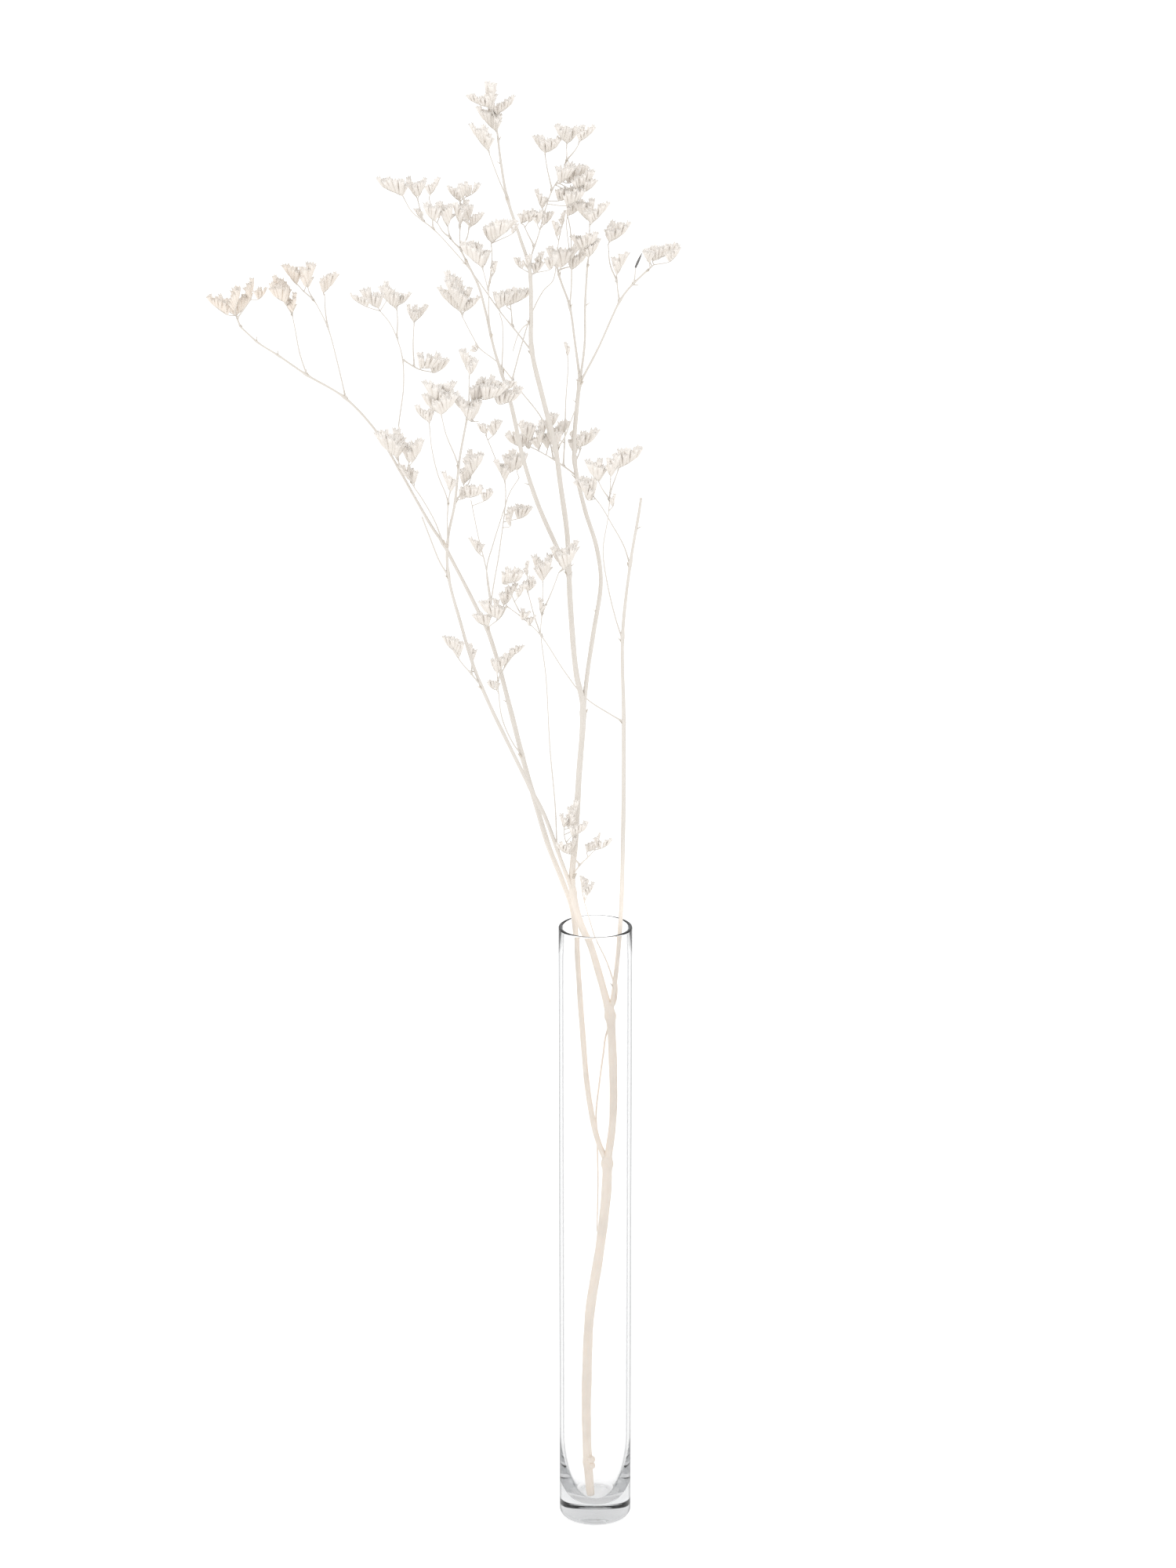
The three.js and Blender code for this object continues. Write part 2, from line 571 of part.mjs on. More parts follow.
// A closed tube through points, with its own radius at each and flat ends.
function tube(points, radii, sides) {
  const positions = [];
  const triangles = [];
  const last = points.length - 1;
  points.forEach((point, i) => {
    const ahead = points[Math.min(i + 1, last)];
    const behind = points[Math.max(i - 1, 0)];
    const tangent = ahead.clone().sub(behind).normalize();
    const across = new THREE.Vector3(0, 1, 0).cross(tangent).normalize();
    const upward = tangent.clone().cross(across);
    for (let k = 0; k < sides; k += 1) {
      const angle = (2 * Math.PI * k) / sides;
      const rim = point.clone();
      rim.addScaledVector(across, Math.cos(angle) * radii[i]);
      rim.addScaledVector(upward, Math.sin(angle) * radii[i]);
      positions.push(rim.x, rim.y, rim.z);
    }
  });
  for (let i = 0; i < last; i += 1) {
    for (let k = 0; k < sides; k += 1) {
      const a = i * sides + k;
      const b = i * sides + ((k + 1) % sides);
      triangles.push(a, b, b + sides, a, b + sides, a + sides);
    }
  }
  const lid = last * sides;
  for (let k = 1; k < sides - 1; k += 1) {
    triangles.push(0, k + 1, k);
    triangles.push(lid, lid + k, lid + k + 1);
  }
  return solidOf(positions, triangles);
}

// A line as a tube. A corner too close behind the foot is left out.
function stemSolid(line, sides) {
  const foot = line[0];
  const ends = line.filter((spot) => spot.isCorner && spot.at.distanceTo(foot.at) > SHORTEST_PIECE);
  const rings = [foot, ...ends];
  return tube(rings.map((spot) => spot.at), rings.map((spot) => spot.radius), sides);
}

// ---------------------------------------------------------------- combs of spikelets
// A number from -1 to 1 that depends only on the place, so that every build is the same.
function swing(x, z) {
  return Math.sin(SWING_RATES[0] * x + SWING_RATES[1] * z);
}

// The three corners of a flower stalk round a point: upper back, lower, upper front.
function stalkCorners(point, along, depthward, flare = 1) {
  const reach = (flare * COMB_WIDTH) / 2;
  const outward = depthward.clone().cross(along).normalize();
  const side = along.clone().cross(outward);
  return [60, 180, 300].map((degrees) => {
    const angle = THREE.MathUtils.degToRad(degrees);
    const corner = point.clone().addScaledVector(outward, Math.cos(angle) * reach);
    return corner.addScaledVector(side, Math.sin(angle) * reach);
  });
}

// The four corners of a spikelet's open end, in the order of its root's corners.
function mouthCorners(centre, direction, side) {
  const across = side.clone().addScaledVector(direction, -side.dot(direction)).normalize();
  const onward = direction.clone().cross(across);
  return [[-1, -1], [1, -1], [1, 1], [-1, 1]].map(([acrossSign, onwardSign]) => {
    const corner = centre.clone().addScaledVector(across, (acrossSign * MOUTH_ACROSS) / 2);
    return corner.addScaledVector(onward, (onwardSign * MOUTH_ALONG) / 2);
  });
}

// A comb is one closed solid. Its three-sided stalk leaves the nearest twig below its foot.
// From its foot to its end the upper side is divided into the roots of the spikelets,
// each pulled out to its own open end, and the end itself widens into the last one.
function combSolid([footX, footZ, endX, endZ, length], order, twigs) {
  const start = nearestSpot(twigs, footX, footZ - COMB_ROOT_DROP);
  const turn = order % 2 === 0 ? 1 : -1;
  const footDepth = start.y + turn * FOOT_OFFSET + COMB_SWING * swing(footX, footZ);
  const endDepth = start.y + turn * COMB_OFFSET + COMB_SWING * swing(endX, endZ);
  const foot = placed(footX, footZ, footDepth);
  const end = placed(endX, endZ, endDepth);
  const stalk = foot.clone().sub(start.at);
  const rooted = stalk.length() < SHORTEST_STALK;
  stalk.normalize();
  if (rooted) foot.copy(start.at);

  const along = end.clone().sub(foot).normalize();
  const outward = new THREE.Vector3(0, 1, 0).cross(along).normalize();
  if (outward.z < 0) outward.negate();
  const side = along.clone().cross(outward);
  const first = outward.clone().multiplyScalar(FOOT_LEAN).add(UP).normalize();
  const last = along.clone().multiplyScalar(END_LEAN).add(UP).normalize();
  const corners = [];
  const triangles = [];
  const add = (points) => {
    const before = corners.length;
    corners.push(...points);
    return points.map((_, i) => before + i);
  };
  const quad = (a, b, c, d) => triangles.push([a, b, c], [a, c, d]);

  const count = Math.max(1, Math.round(foot.distanceTo(end) / SPIKELET_SPACING));
  let ring;
  if (rooted) {
    ring = add(stalkCorners(foot, along, side));
  } else {
    const root = add(stalkCorners(start.at, stalk, side));
    ring = add(stalkCorners(foot, stalk.clone().add(along).normalize(), side));
    for (let k = 0; k < 3; k += 1) quad(root[k], root[(k + 1) % 3], ring[(k + 1) % 3], ring[k]);
  }
  triangles.push([2, 1, 0]);
  for (let i = 0; i < count; i += 1) {
    const next = add(stalkCorners(foot.clone().lerp(end, (i + 1) / count), along, side));
    quad(ring[0], ring[1], next[1], next[0]);
    quad(ring[1], ring[2], next[2], next[1]);
    const row = i % 2 === 0 ? 1 : -1;
    const splay = ROW_SPLAY * row * (1 + SPLAY_SWING * swing(footX + i, endZ));
    const direction = first.clone().lerp(last, i / count).normalize();
    direction.multiplyScalar(Math.cos(splay)).addScaledVector(side, Math.sin(splay)).normalize();
    const root = foot.clone().lerp(end, (i + 0.5) / count);
    const full = length * (1 + LENGTH_SWING * swing(endX + i, footZ));
    const centre = root.addScaledVector(direction, full);
    const mouth = add(mouthCorners(centre, direction, side));
    const base = [ring[2], ring[0], next[0], next[2]];
    for (let k = 0; k < 4; k += 1) quad(base[k], base[(k + 1) % 4], mouth[(k + 1) % 4], mouth[k]);
    quad(...mouth);
    ring = next;
  }
  const tip = end.clone().addScaledVector(last, length * TIP_LENGTH);
  const lid = add(stalkCorners(tip, last, side, TIP_FLARE));
  for (let k = 0; k < 3; k += 1) quad(ring[k], ring[(k + 1) % 3], lid[(k + 1) % 3], lid[k]);
  triangles.push(lid);
  return solidOf(corners.flatMap((corner) => corner.toArray()), triangles.flat());
}

// ---------------------------------------------------------------- nodes
const stemLines = {};
for (const [name, { on, width, path }] of Object.entries(STEMS)) {
  const parents = [stemLines[on]];
  const line = on ? grownLine(path, width, STEM_STEP, parents) : lineOf(path, width, STEM_STEP);
  stemLines[name] = line;
}

function joined(solids) {
  return solids.reduce((whole, solid) => whole.add(solid));
}

function mainStem() {
  const lines = Object.values(stemLines);
  return joined(lines.map((line) => stemSolid(line, STEM_SIDES)));
}

function spraySolid({ on, twigs, combs }) {
  const width = [TWIG_WIDTH, TWIG_WIDTH];
  const carrier = stemLines[on];
  const lines = [];
  twigs.forEach((path, i) => {
    const parents = i === 0 ? [carrier] : lines;
    const line = grownLine(path, width, TWIG_STEP, parents);
    lines.push(i === 0 ? clearOf(line, carrier) : line);
  });
  const solids = lines.map((line) => stemSolid(line, TWIG_SIDES));
  combs.forEach((comb, order) => solids.push(combSolid(comb, order, lines)));
  return joined(solids);
}

// The vase is one turned profile: underside, rounded foot, wall, rim, bore and round bottom.
function vaseGeometry() {
  const profile = [new THREE.Vector2(0, 0)];
  const arc = (centreR, centreZ, radius, from, to) => {
    for (let i = 0; i <= ROUNDING_STEPS; i += 1) {
      const angle = THREE.MathUtils.degToRad(from + ((to - from) * i) / ROUNDING_STEPS);
      profile.push(
        new THREE.Vector2(centreR + radius * Math.cos(angle), centreZ + radius * Math.sin(angle)),
      );
    }
  };
  const bore = VASE_RADIUS - WALL;
  arc(VASE_RADIUS - FOOT_ROUNDING, FOOT_ROUNDING, FOOT_ROUNDING, -90, 0);
  arc(VASE_RADIUS - RIM_ROUNDING, VASE_HEIGHT - RIM_ROUNDING, RIM_ROUNDING, 0, 90);
  arc(bore + RIM_ROUNDING, VASE_HEIGHT - RIM_ROUNDING, RIM_ROUNDING, 90, 180);
  for (let i = 0; i <= BOWL_STEPS; i += 1) {
    const turn = (Math.PI / 2) * (i / BOWL_STEPS);
    const inward = BOWL_FLAT + (bore - BOWL_FLAT) * Math.cos(turn);
    const depth = (BOWL_TOP - FLOOR_THICKNESS) * Math.sin(turn);
    profile.push(new THREE.Vector2(inward, BOWL_TOP - depth));
  }
  profile.push(new THREE.Vector2(0, FLOOR_THICKNESS));
  const geometry = new THREE.LatheGeometry(profile, VASE_SEGMENTS);
  geometry.rotateX(Math.PI / 2);
  return geometryOf(solidOfGeometry(geometry));
}

function addNode(group, name, geometry, finish) {
  const mesh = new THREE.Mesh(geometry, new THREE.MeshStandardMaterial(finish));
  mesh.name = name;
  group.add(mesh);
}

const statice = new THREE.Group();
addNode(statice, "vase", vaseGeometry(), GLASS);
addNode(statice, "main_stem", geometryOf(mainStem()), WOOD);
for (const [name, spray] of Object.entries(SPRAYS)) {
  addNode(statice, name, geometryOf(spraySolid(spray)), FLORET);
}

export default statice;
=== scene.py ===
"""A dried branch of statice (sea lavender) standing in a tall clear glass vase.

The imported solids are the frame. The branch's nodes are replaced by a finer branch on the
same skeleton: ribbed stems with nodes and scales, thin twigs, and flower stalks with rows
of papery, flared spikelets. The vase's node is replaced by the same turned glass with more
sides. Lengths are in metres unless a comment says otherwise, and the skeleton's lists are
millimetres of the front elevation. Tone runs from 0, pale, to 1, dark.
"""

import json

import bpy
import numpy as np
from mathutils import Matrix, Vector

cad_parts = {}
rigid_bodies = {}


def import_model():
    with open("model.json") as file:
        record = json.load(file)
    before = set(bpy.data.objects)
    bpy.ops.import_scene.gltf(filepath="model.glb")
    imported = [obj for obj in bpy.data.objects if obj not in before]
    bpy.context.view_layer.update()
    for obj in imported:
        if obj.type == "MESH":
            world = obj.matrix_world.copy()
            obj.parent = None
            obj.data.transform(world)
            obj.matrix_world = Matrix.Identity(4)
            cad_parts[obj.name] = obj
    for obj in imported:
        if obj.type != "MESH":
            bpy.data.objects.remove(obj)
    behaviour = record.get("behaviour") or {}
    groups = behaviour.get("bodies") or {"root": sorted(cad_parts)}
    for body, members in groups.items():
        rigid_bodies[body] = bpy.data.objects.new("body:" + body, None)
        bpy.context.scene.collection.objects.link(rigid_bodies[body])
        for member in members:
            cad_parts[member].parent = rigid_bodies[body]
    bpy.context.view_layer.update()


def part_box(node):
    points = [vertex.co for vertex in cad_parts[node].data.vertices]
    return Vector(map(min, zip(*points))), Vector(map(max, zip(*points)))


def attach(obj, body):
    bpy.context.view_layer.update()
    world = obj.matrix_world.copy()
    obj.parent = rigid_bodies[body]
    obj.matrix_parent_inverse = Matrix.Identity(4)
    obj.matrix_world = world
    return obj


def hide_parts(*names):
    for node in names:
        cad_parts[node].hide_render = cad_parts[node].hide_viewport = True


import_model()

# ---------------------------------------------------------------- sizes
MM = 0.001
EYE = np.array([-4.0, -2120.0, 1055.0])  # millimetres: the eye that the front elevation is drawn from
UP = np.array([0.0, 0.0, 1.0])
DEPTHWARD = np.array([0.0, 1.0, 0.0])

WALL = 2.0 * MM
WALL_STEPS = 12
WALL_SPAN = (0.05, 0.95)  # shares of the height that the wall's straight rings lie between
FLOOR_THICKNESS = 9.5 * MM
FOOT_ROUNDING = 3.0 * MM
RIM_ROUNDING = 0.8 * MM
BOWL_TOP = 48.0 * MM  # the bore narrows below it
BOWL_CLEARANCE = 4.0 * MM  # the bore's lowest straight ring lies this far above it
BOWL_FLAT = 7.0 * MM  # radius of the flat middle of the floor inside
BOWL_STEPS = 28
FLAT_STEPS = 5
PUNT_DEPTH = 1.6 * MM  # how far the middle of the underside is drawn up
PUNT_STEPS = 8
MIDDLE_SHARE = 0.15  # the ring next to a closed middle, as a share of the flat's radius
VASE_SEGMENTS = 128
ROUNDING_STEPS = 8

CURVE_SAMPLES = 24  # points worked out between two points of a path
STEM_STEP = 1.2 * MM  # length between two rings of a stem
TWIG_STEP = 1.6 * MM
STALK_STEP = 1.2 * MM
STEM_SIDES = 14
TWIG_SIDES = 7
STALK_SIDES = 6
STEM_RIBS = 5
RIB_DEPTH = 0.05  # of the radius
TWIG_WIDTH = (0.85, 0.55)  # millimetres, at the foot and at the tip
STALK_WIDTH = (0.6, 0.4)
WAVER_LENGTHS = (9.0 * MM, 3.7 * MM)  # a stem's thickness wavers over these two lengths
WAVER_DEPTH = 0.025
TWIST_LENGTH = 70.0 * MM  # the ribs turn by one radian over it
GRAIN_LENGTH = 25.0 * MM  # the pattern's third number grows by one over it
STEM_TONES = (0.2, 0.8)
AXIL_FLARE = 0.55  # how much wider a twig is where it leaves its stem
AXIL_LENGTH = 2.6 * MM
NODE_SWELLING = 0.3  # how much a stem swells where a twig leaves it
NODE_LENGTH = 2.2 * MM

# A scale's rings: how far along it they lie, and how wide they are, as shares.
SCALE_SIDES = 6
SCALE_HEIGHTS = np.array([0.0, 0.3, 0.6, 0.85])
SCALE_WIDTHS = np.array([0.75, 1.0, 0.8, 0.35])
SCALE_THINNESS = 0.3  # thickness as a share of the width
SCALE_BEND = 0.25  # how far a scale bends outwards, as a share of its length
SCALE_TIP_BEND = 0.28
SCALE_TONE = 0.9

# The scale below each fork. Its length and width are a part of their own and a share of the
# stem's radius.
FORK_SCALES_FROM = 0.38  # the stems that leave below this height have lost their scale
FORK_SCALE_SEAT = 0.8  # how far out its foot stands, in radii of the stem
FORK_SCALE_DROP = 1.2 * MM  # how far it stands below the fork
FORK_SCALE_LEAN = 0.45
FORK_SCALE_LENGTH = (2.2 * MM, 1.2)
FORK_SCALE_WIDTH = (0.7 * MM, 0.9)
FORK_SCALE_SPREAD = (0.8, 1.25)
FORK_REACH = 3  # rings from a line's foot to the one that tells which way it leaves

BRACT_LENGTH = 3.4 * MM
BRACT_WIDTH = 1.3 * MM
BRACT_SEAT = 0.6  # how far out its foot stands, in radii of the stem
BRACT_LEAN = 0.75  # how far a bract leans outwards from its stem
WITHERED_TIP = (24.0, 713.0, 13.0)  # millimetres: where the withered bract ends
WITHERED_TONE = 1.0
KNOB_LOBES = ((-2.2, 31.5, -6, 2.3), (-1.8, 27.5, -6, 2.0))  # millimetres: x, z, depth and radius
KNOB_RINGS = 9
KNOB_TONE = 0.3

SEED = 7
COMB_ROOT_DROP = 2.0  # millimetres: a flower stalk leaves its twig this far below its foot
FOOT_OFFSET = 3.0  # millimetres: the stalks stand in turn this far behind and before their twig
END_OFFSET = 4.2  # millimetres: and end this far behind or before it
COMB_SWING = 1.5  # millimetres: how far these depths swing from stalk to stalk
SWING_RATES = (1.7, 2.3)
STALK_BOW = 0.3 * MM  # how far a flower stalk sags in its middle
SPIKELET_SPACING = 0.95 * MM
EXTRA_SPIKELETS = 2
FEWEST_SPIKELETS = 3
SPACING_SPREAD = 0.3
ROW_SPLAY = np.radians((11.0, -12.0))  # one row leans to the back and one to the front
SPLAY_SPREAD = 0.06
FOOT_LEAN = 0.5
END_LEAN = 1.0
LEAN_SPREAD = 0.09
LENGTH_SPREAD = (0.82, 1.2)

# A spikelet's rings, in shares of its length: their height, their radius and the depth of
# their teeth. The last two rings are the rim and the inside.
SPIKELET_SIDES = 10
SPIKELET_HEIGHTS = np.array([0.0, 0.2, 0.5, 0.92, 0.9])
SPIKELET_RADII = np.array([0.05, 0.12, 0.15, 0.2, 0.17])
SPIKELET_TEETH = np.array([0.0, 0.0, 0.0, 0.09, 0.085])
SPIKELET_FLARES = np.array([0.0, 0.1, 0.25, 1.0, 1.0])  # how much each ring follows the flare
SPIKELET_CUP = 0.86  # height of the bottom of the inside
TOOTH_COUNT = 5
TOOTH_SPREAD = (0.6, 1.5)
TOOTH_FLARE = 0.12  # how much the rim widens at a tooth
FLARE_SPREAD = (0.75, 1.15)
BEND_SPREAD = 0.07

# ---------------------------------------------------------------- colours and light
# A NOISE is a pattern's scale and detail, and a BUMP its strength and height. The other pairs
# are the numbers that a colour changes between.
WHITE = (1, 1, 1, 1)
STEM_CREAM = (0.68, 0.64, 0.592, 1)
STEM_SHADE = (0.61, 0.57, 0.52, 1)
# The wood in the vase: its own warm tone, painted brighter as painted light that makes up for the shade
# the glass casts on it.
FOOT_CREAM_PAINTED_BRIGHT = (1.0, 0.92, 0.83, 1)
FOOT_DARK_FIBRE_PAINTED_BRIGHT = (1.0, 0.87, 0.745, 1)
STEM_DULL = (0.56, 0.515, 0.455, 1)
STEM_SCALE = (0.6, 0.54, 0.465, 1)
STEM_WITHERED = (0.16, 0.155, 0.15, 1)
FIBRE_NOISE = (5.0, 4.0)
FIBRE_RANGE = (0.3, 0.7)
DULL_NOISE = (70.0, 3.0)
DULL_RANGE = (0.45, 0.7)
DULL_SHARE = 0.2
# Between these heights the wood also takes on the painted brighter colour of the foot.
WARM_AND_PAINTED_BRIGHT_HEIGHTS = (0.40, 0.32)  # the wood turns warm from the upper one down to the lower one
SCALE_TONES = (0.82, 0.9)
WITHERED_TONES = (0.92, 0.98)
STEM_BUMP = (0.3, 0.15 * MM)
STEM_ROUGHNESS = 0.72
FLORET_PALE = (0.75, 0.705, 0.66, 1)
FLORET_TAN = (0.72, 0.675, 0.625, 1)
FLORET_FOOT = (0.72, 0.675, 0.62, 1)
# The rim's colour: the paper's own paler limb, made brighter still as painted light over the shaded
# insides of the cups.
FLORET_PALE_RIM_PAINTED_LIGHT = (0.92, 0.875, 0.825, 1)
FLORET_WARM = (0.79, 0.7, 0.61, 1)
FLORET_WITHERED = (0.62, 0.58, 0.53, 1)
WARM_REACH = (-0.125, -0.16)  # from right to left: the sprays turn warm between them
WARM_SHARE = 0.6
BODY_TONES = (0.0, 0.9)
BODY_HEIGHTS = (0.1, 0.75)  # shares of a spikelet's height
# the pale rim, with its painted light, comes in between these shares of a spikelet's height
RIM_AND_PAINTED_LIGHT_HEIGHTS = (0.6, 0.92)
GREY_TONES = (0.985, 0.998)
VEIN_NOISE = (6.0, 3.0)
FLORET_BUMP = (0.12, 0.1 * MM)
FLORET_ROUGHNESS = 0.8
GLASS_IOR = 1.4
GLASS_TINT = (0.80, 0.805, 0.81, 1)
GLASS_DENSITY = 48.0
# Painted shade on the glass: its colour darkens where its surface is seen edge on, standing in for the
# dark reflections along its outlines.
PAINTED_EDGE_BLEND = 0.5
PAINTED_EDGE_FACING = (0.66, 0.84)  # the glass darkens between them, towards its outlines
PAINTED_EDGE_SHADE = (0.1, 0.11, 0.12, 1)
GLASS_BOUNCES = 24  # light goes back and forth in the thick base

GLASS_SEES = 0.8  # how bright the stage is in a reflection
FLOOR_HALF = 20.0
FLOOR_Z = -0.2 * MM
FLOOR_COLOUR = (0.49, 0.49, 0.49, 1)
FLOOR_GLOW = 0.72
SKY_STRENGTH = 1.21
KEY_PLACE = (-0.9, -1.3, 2.0)
KEY_TARGET = (0, 0, 0.45)
KEY_SIZE = 1.2
KEY_WATTS = 4.6
CAMERA_PITCH = np.radians(16.5)
CAMERA_LENS = 95.0
CAMERA_SENSOR = 36.0

# ---------------------------------------------------------------- the skeleton
# Points are [x, z] or [x, z, depth] in the front elevation. A depth that is left out runs
# evenly between those that are given. Widths are at equal stretches from the foot to the tip.
STEMS = {
    "trunk": {
        "width": [4.8, 5.3, 5.3, 5.3],
        "path": [[-2.8, 8, -4.5], [-3.7, 22], [-4.3, 32], [-5, 60], [-4.8, 80], [-3.2, 120], [2.5, 160],
            [6.2, 195], [6.6, 214, 0]],
    },
    "left_stem": {
        "on": "trunk",
        "width": [3.0, 3.0, 2.7, 1.5, 0.9],
        "path": [[6.4, 210], [1.5, 223], [-3.8, 250], [-7.3, 290], [-10, 330, 8], [-12, 355, 11],
            [-18.2, 374, 13], [-25, 392], [-32, 416.5, 16], [-38.8, 441.7], [-46.1, 472, 18],
            [-52.7, 498], [-58.8, 516.5, 21], [-62.3, 523], [-67.6, 534], [-75.6, 550],
            [-79.9, 558.5, 26], [-85.5, 567], [-93.6, 581.5], [-103, 599, 33], [-115, 619.5],
            [-130.5, 636.5, 40], [-150, 648.5], [-165, 659, 46], [-175, 665.5], [-184, 674, 50]],
    },
    "middle_stem": {
        "on": "trunk",
        "width": [4.0, 4.3, 4.8],
        "path": [[6.6, 209], [9.4, 232], [10, 250], [8.6, 290], [7.3, 303, -2]],
    },
    "centre_stem": {
        "on": "middle_stem",
        "width": [4.0, 3.3, 2.8, 2.5, 1.1],
        "path": [[7.6, 296], [3, 316], [-2.5, 335], [-8.6, 350, -2], [-12.6, 371, 0], [-11, 395],
            [-9, 430], [-6.8, 470.6, 4], [-10.2, 488], [-13.3, 526], [-14.8, 563, 6], [-18.3, 590],
            [-21, 610], [-27.1, 635], [-33.2, 662.4, 9], [-33.4, 682], [-34.2, 704], [-39.3, 721],
            [-45.6, 741], [-48.5, 758, 12], [-50, 771, 12]],
    },
    "right_stem": {
        "on": "middle_stem",
        "width": [2.4, 2.3, 2.3, 1.7, 1.4],
        "path": [[7.5, 296], [10.5, 315], [13.5, 350, -6], [14.8, 400], [15, 463, -16], [14.3, 509, -22],
            [18.5, 549.5], [22.7, 575], [23.8, 583, -32]],
    },
    "front_stem": {
        "on": "centre_stem",
        "width": [2.2, 2.1, 1.8, 1.5, 1.1],
        "path": [[-12.3, 366], [-18.6, 384.4], [-27.4, 409.6, -6], [-35, 425, -10], [-45, 446.3],
            [-57.2, 473, -18], [-64.6, 492], [-70.7, 513.5], [-77.6, 542, -30], [-77.6, 561],
            [-73.8, 580], [-71.1, 603.5], [-66.9, 626, -38]],
    },
    "bare_spur": {
        "on": "front_stem",
        "width": [0.9, 0.8],
        "path": [[-77.6, 541], [-82, 549], [-87, 562], [-91, 573, -42]],
    },
    "right_fork": {
        "on": "centre_stem",
        "width": [2.4, 2.2],
        "path": [[-6.9, 466], [-4.1, 490], [-1, 511], [2.8, 538, 14], [0.5, 557], [-5.7, 577.5],
            [-11, 604, 26], [-9.5, 634], [-8, 646.5, 32]],
    },
    "side_stem": {
        "on": "centre_stem",
        "width": [2.4, 2.3, 2.2, 1.4, 1.2],
        "path": [[-14.4, 543], [-20.9, 558], [-30.5, 580.5], [-37.8, 604, -6], [-44.3, 634],
            [-52.7, 662.4, -18], [-57, 682], [-60.5, 695], [-67, 708.5, -26]],
    },
    "fork_left": {
        "on": "right_fork",
        "width": [1.4, 1.1],
        "path": [[-8.1, 645], [-10.7, 665], [-13.5, 684.5, 40], [-17.5, 696], [-19.2, 701, 43]],
    },
    "fork_middle": {
        "on": "right_fork",
        "width": [1.3, 1.1],
        "path": [[-8, 645], [-5.7, 665], [-5.5, 684.5, 30], [-4.3, 706, 27]],
    },
    "fork_right": {
        "on": "right_fork",
        "width": [1.2, 1.0],
        "path": [[-8.1, 644], [1.2, 662.4], [12.9, 688, 20], [18.6, 695.4], [27, 703.5, 12]],
    },
}

# Fine bare twigs, in the same way.
FINE_TWIGS = {
    "high_twig": {
        "on": "fork_left",
        "width": [0.8, 0.6],
        "path": [[-13.5, 684.5], [-12.6, 695], [-12.6, 711], [-13.2, 725], [-15, 733, 36]],
    },
    "twig_behind": {
        "on": "middle_stem",
        "width": [1.1, 0.7],
        "path": [[7.6, 294], [5.5, 283, 4], [4.5, 275], [2, 255], [0.5, 240], [1, 225], [1.5, 200],
            [1, 170, 7]],
    },
    "stub": {
        "on": "middle_stem",
        "width": [1.5, 1.2],
        "path": [[7.4, 299], [10.2, 303, -1], [11.3, 308], [11.4, 314, -3]],
    },
    "cross_twig": {
        "on": "centre_stem",
        "width": [0.8, 0.6],
        "path": [[-20.8, 609], [-17, 614, 10], [-13, 624], [-10, 632, 20]],
    },
    "upright_twig": {
        "on": "side_stem",
        "width": [0.8, 0.55],
        "path": [[-49, 649], [-48.5, 656, -14], [-48, 668], [-48.4, 676], [-49.8, 681, -16]],
    },
    "bract_twig": {
        "on": "fork_right",
        "width": [0.7, 0.5],
        "path": [[19.5, 696.3], [20.2, 700.5, 14], [20.4, 704.5, 13]],
    },
    "hanging_twig": {
        "on": "centre_stem",
        "width": [0.7, 0.5],
        "path": [[-33.4, 676], [-37, 674, 8], [-40, 670], [-43, 661, 6]],
    },
}

# Places where the stems swell: the stem, x, z and the thickness of the twig that left there.
KNOTS = [
    ["right_stem", 14.3, 509, 1.6],
    ["right_stem", 18.5, 549.5, 1.5],
    ["left_stem", -58.8, 516.5, 1.8],
    ["left_stem", -79.1, 559.4, 1.7],
    ["left_stem", -130.5, 636.5, 1.4],
    ["left_stem", -150, 648.5, 1.3],
    ["left_stem", -165, 659, 1.3],
    ["left_stem", -175, 665.5, 1.3],
    ["front_stem", -35, 425, 1.8],
    ["front_stem", -77.6, 542, 1.6],
    ["centre_stem", -33.2, 662.4, 1.6],
    ["centre_stem", -45, 740, 1.3],
    ["side_stem", -67, 708.5, 1.3],
    ["right_fork", -11, 604, 1.6],
    ["fork_left", -13.5, 684.5, 1.2],
    ["fork_right", 12.9, 688, 1.3],
    ["trunk", -4.2, 29, 2.4],
]

# Bracts: the stem, x, z, and the side that the pointed scale stands on: 1 right, -1 left.
BRACTS = [
    ["left_stem", -46.1, 472, -1],
    ["left_stem", -130.5, 636.5, 1],
    ["left_stem", -150, 648.5, 1],
    ["left_stem", -165, 659, 1],
    ["left_stem", -175, 665.5, 1],
    ["front_stem", -64, 489, -1],
    ["centre_stem", -14.5, 546, 1],
    ["centre_stem", -48.5, 758, -1],
    ["right_stem", 22.5, 566, 1],
    ["side_stem", -33.6, 590, -1],
    ["side_stem", -67, 706, -1],
    ["right_fork", -0.7, 521, -1],
    ["right_fork", -9.5, 634, -1],
    ["fork_middle", -5.5, 684.5, 1],
    ["fork_right", 18.6, 695.4, 1],
]

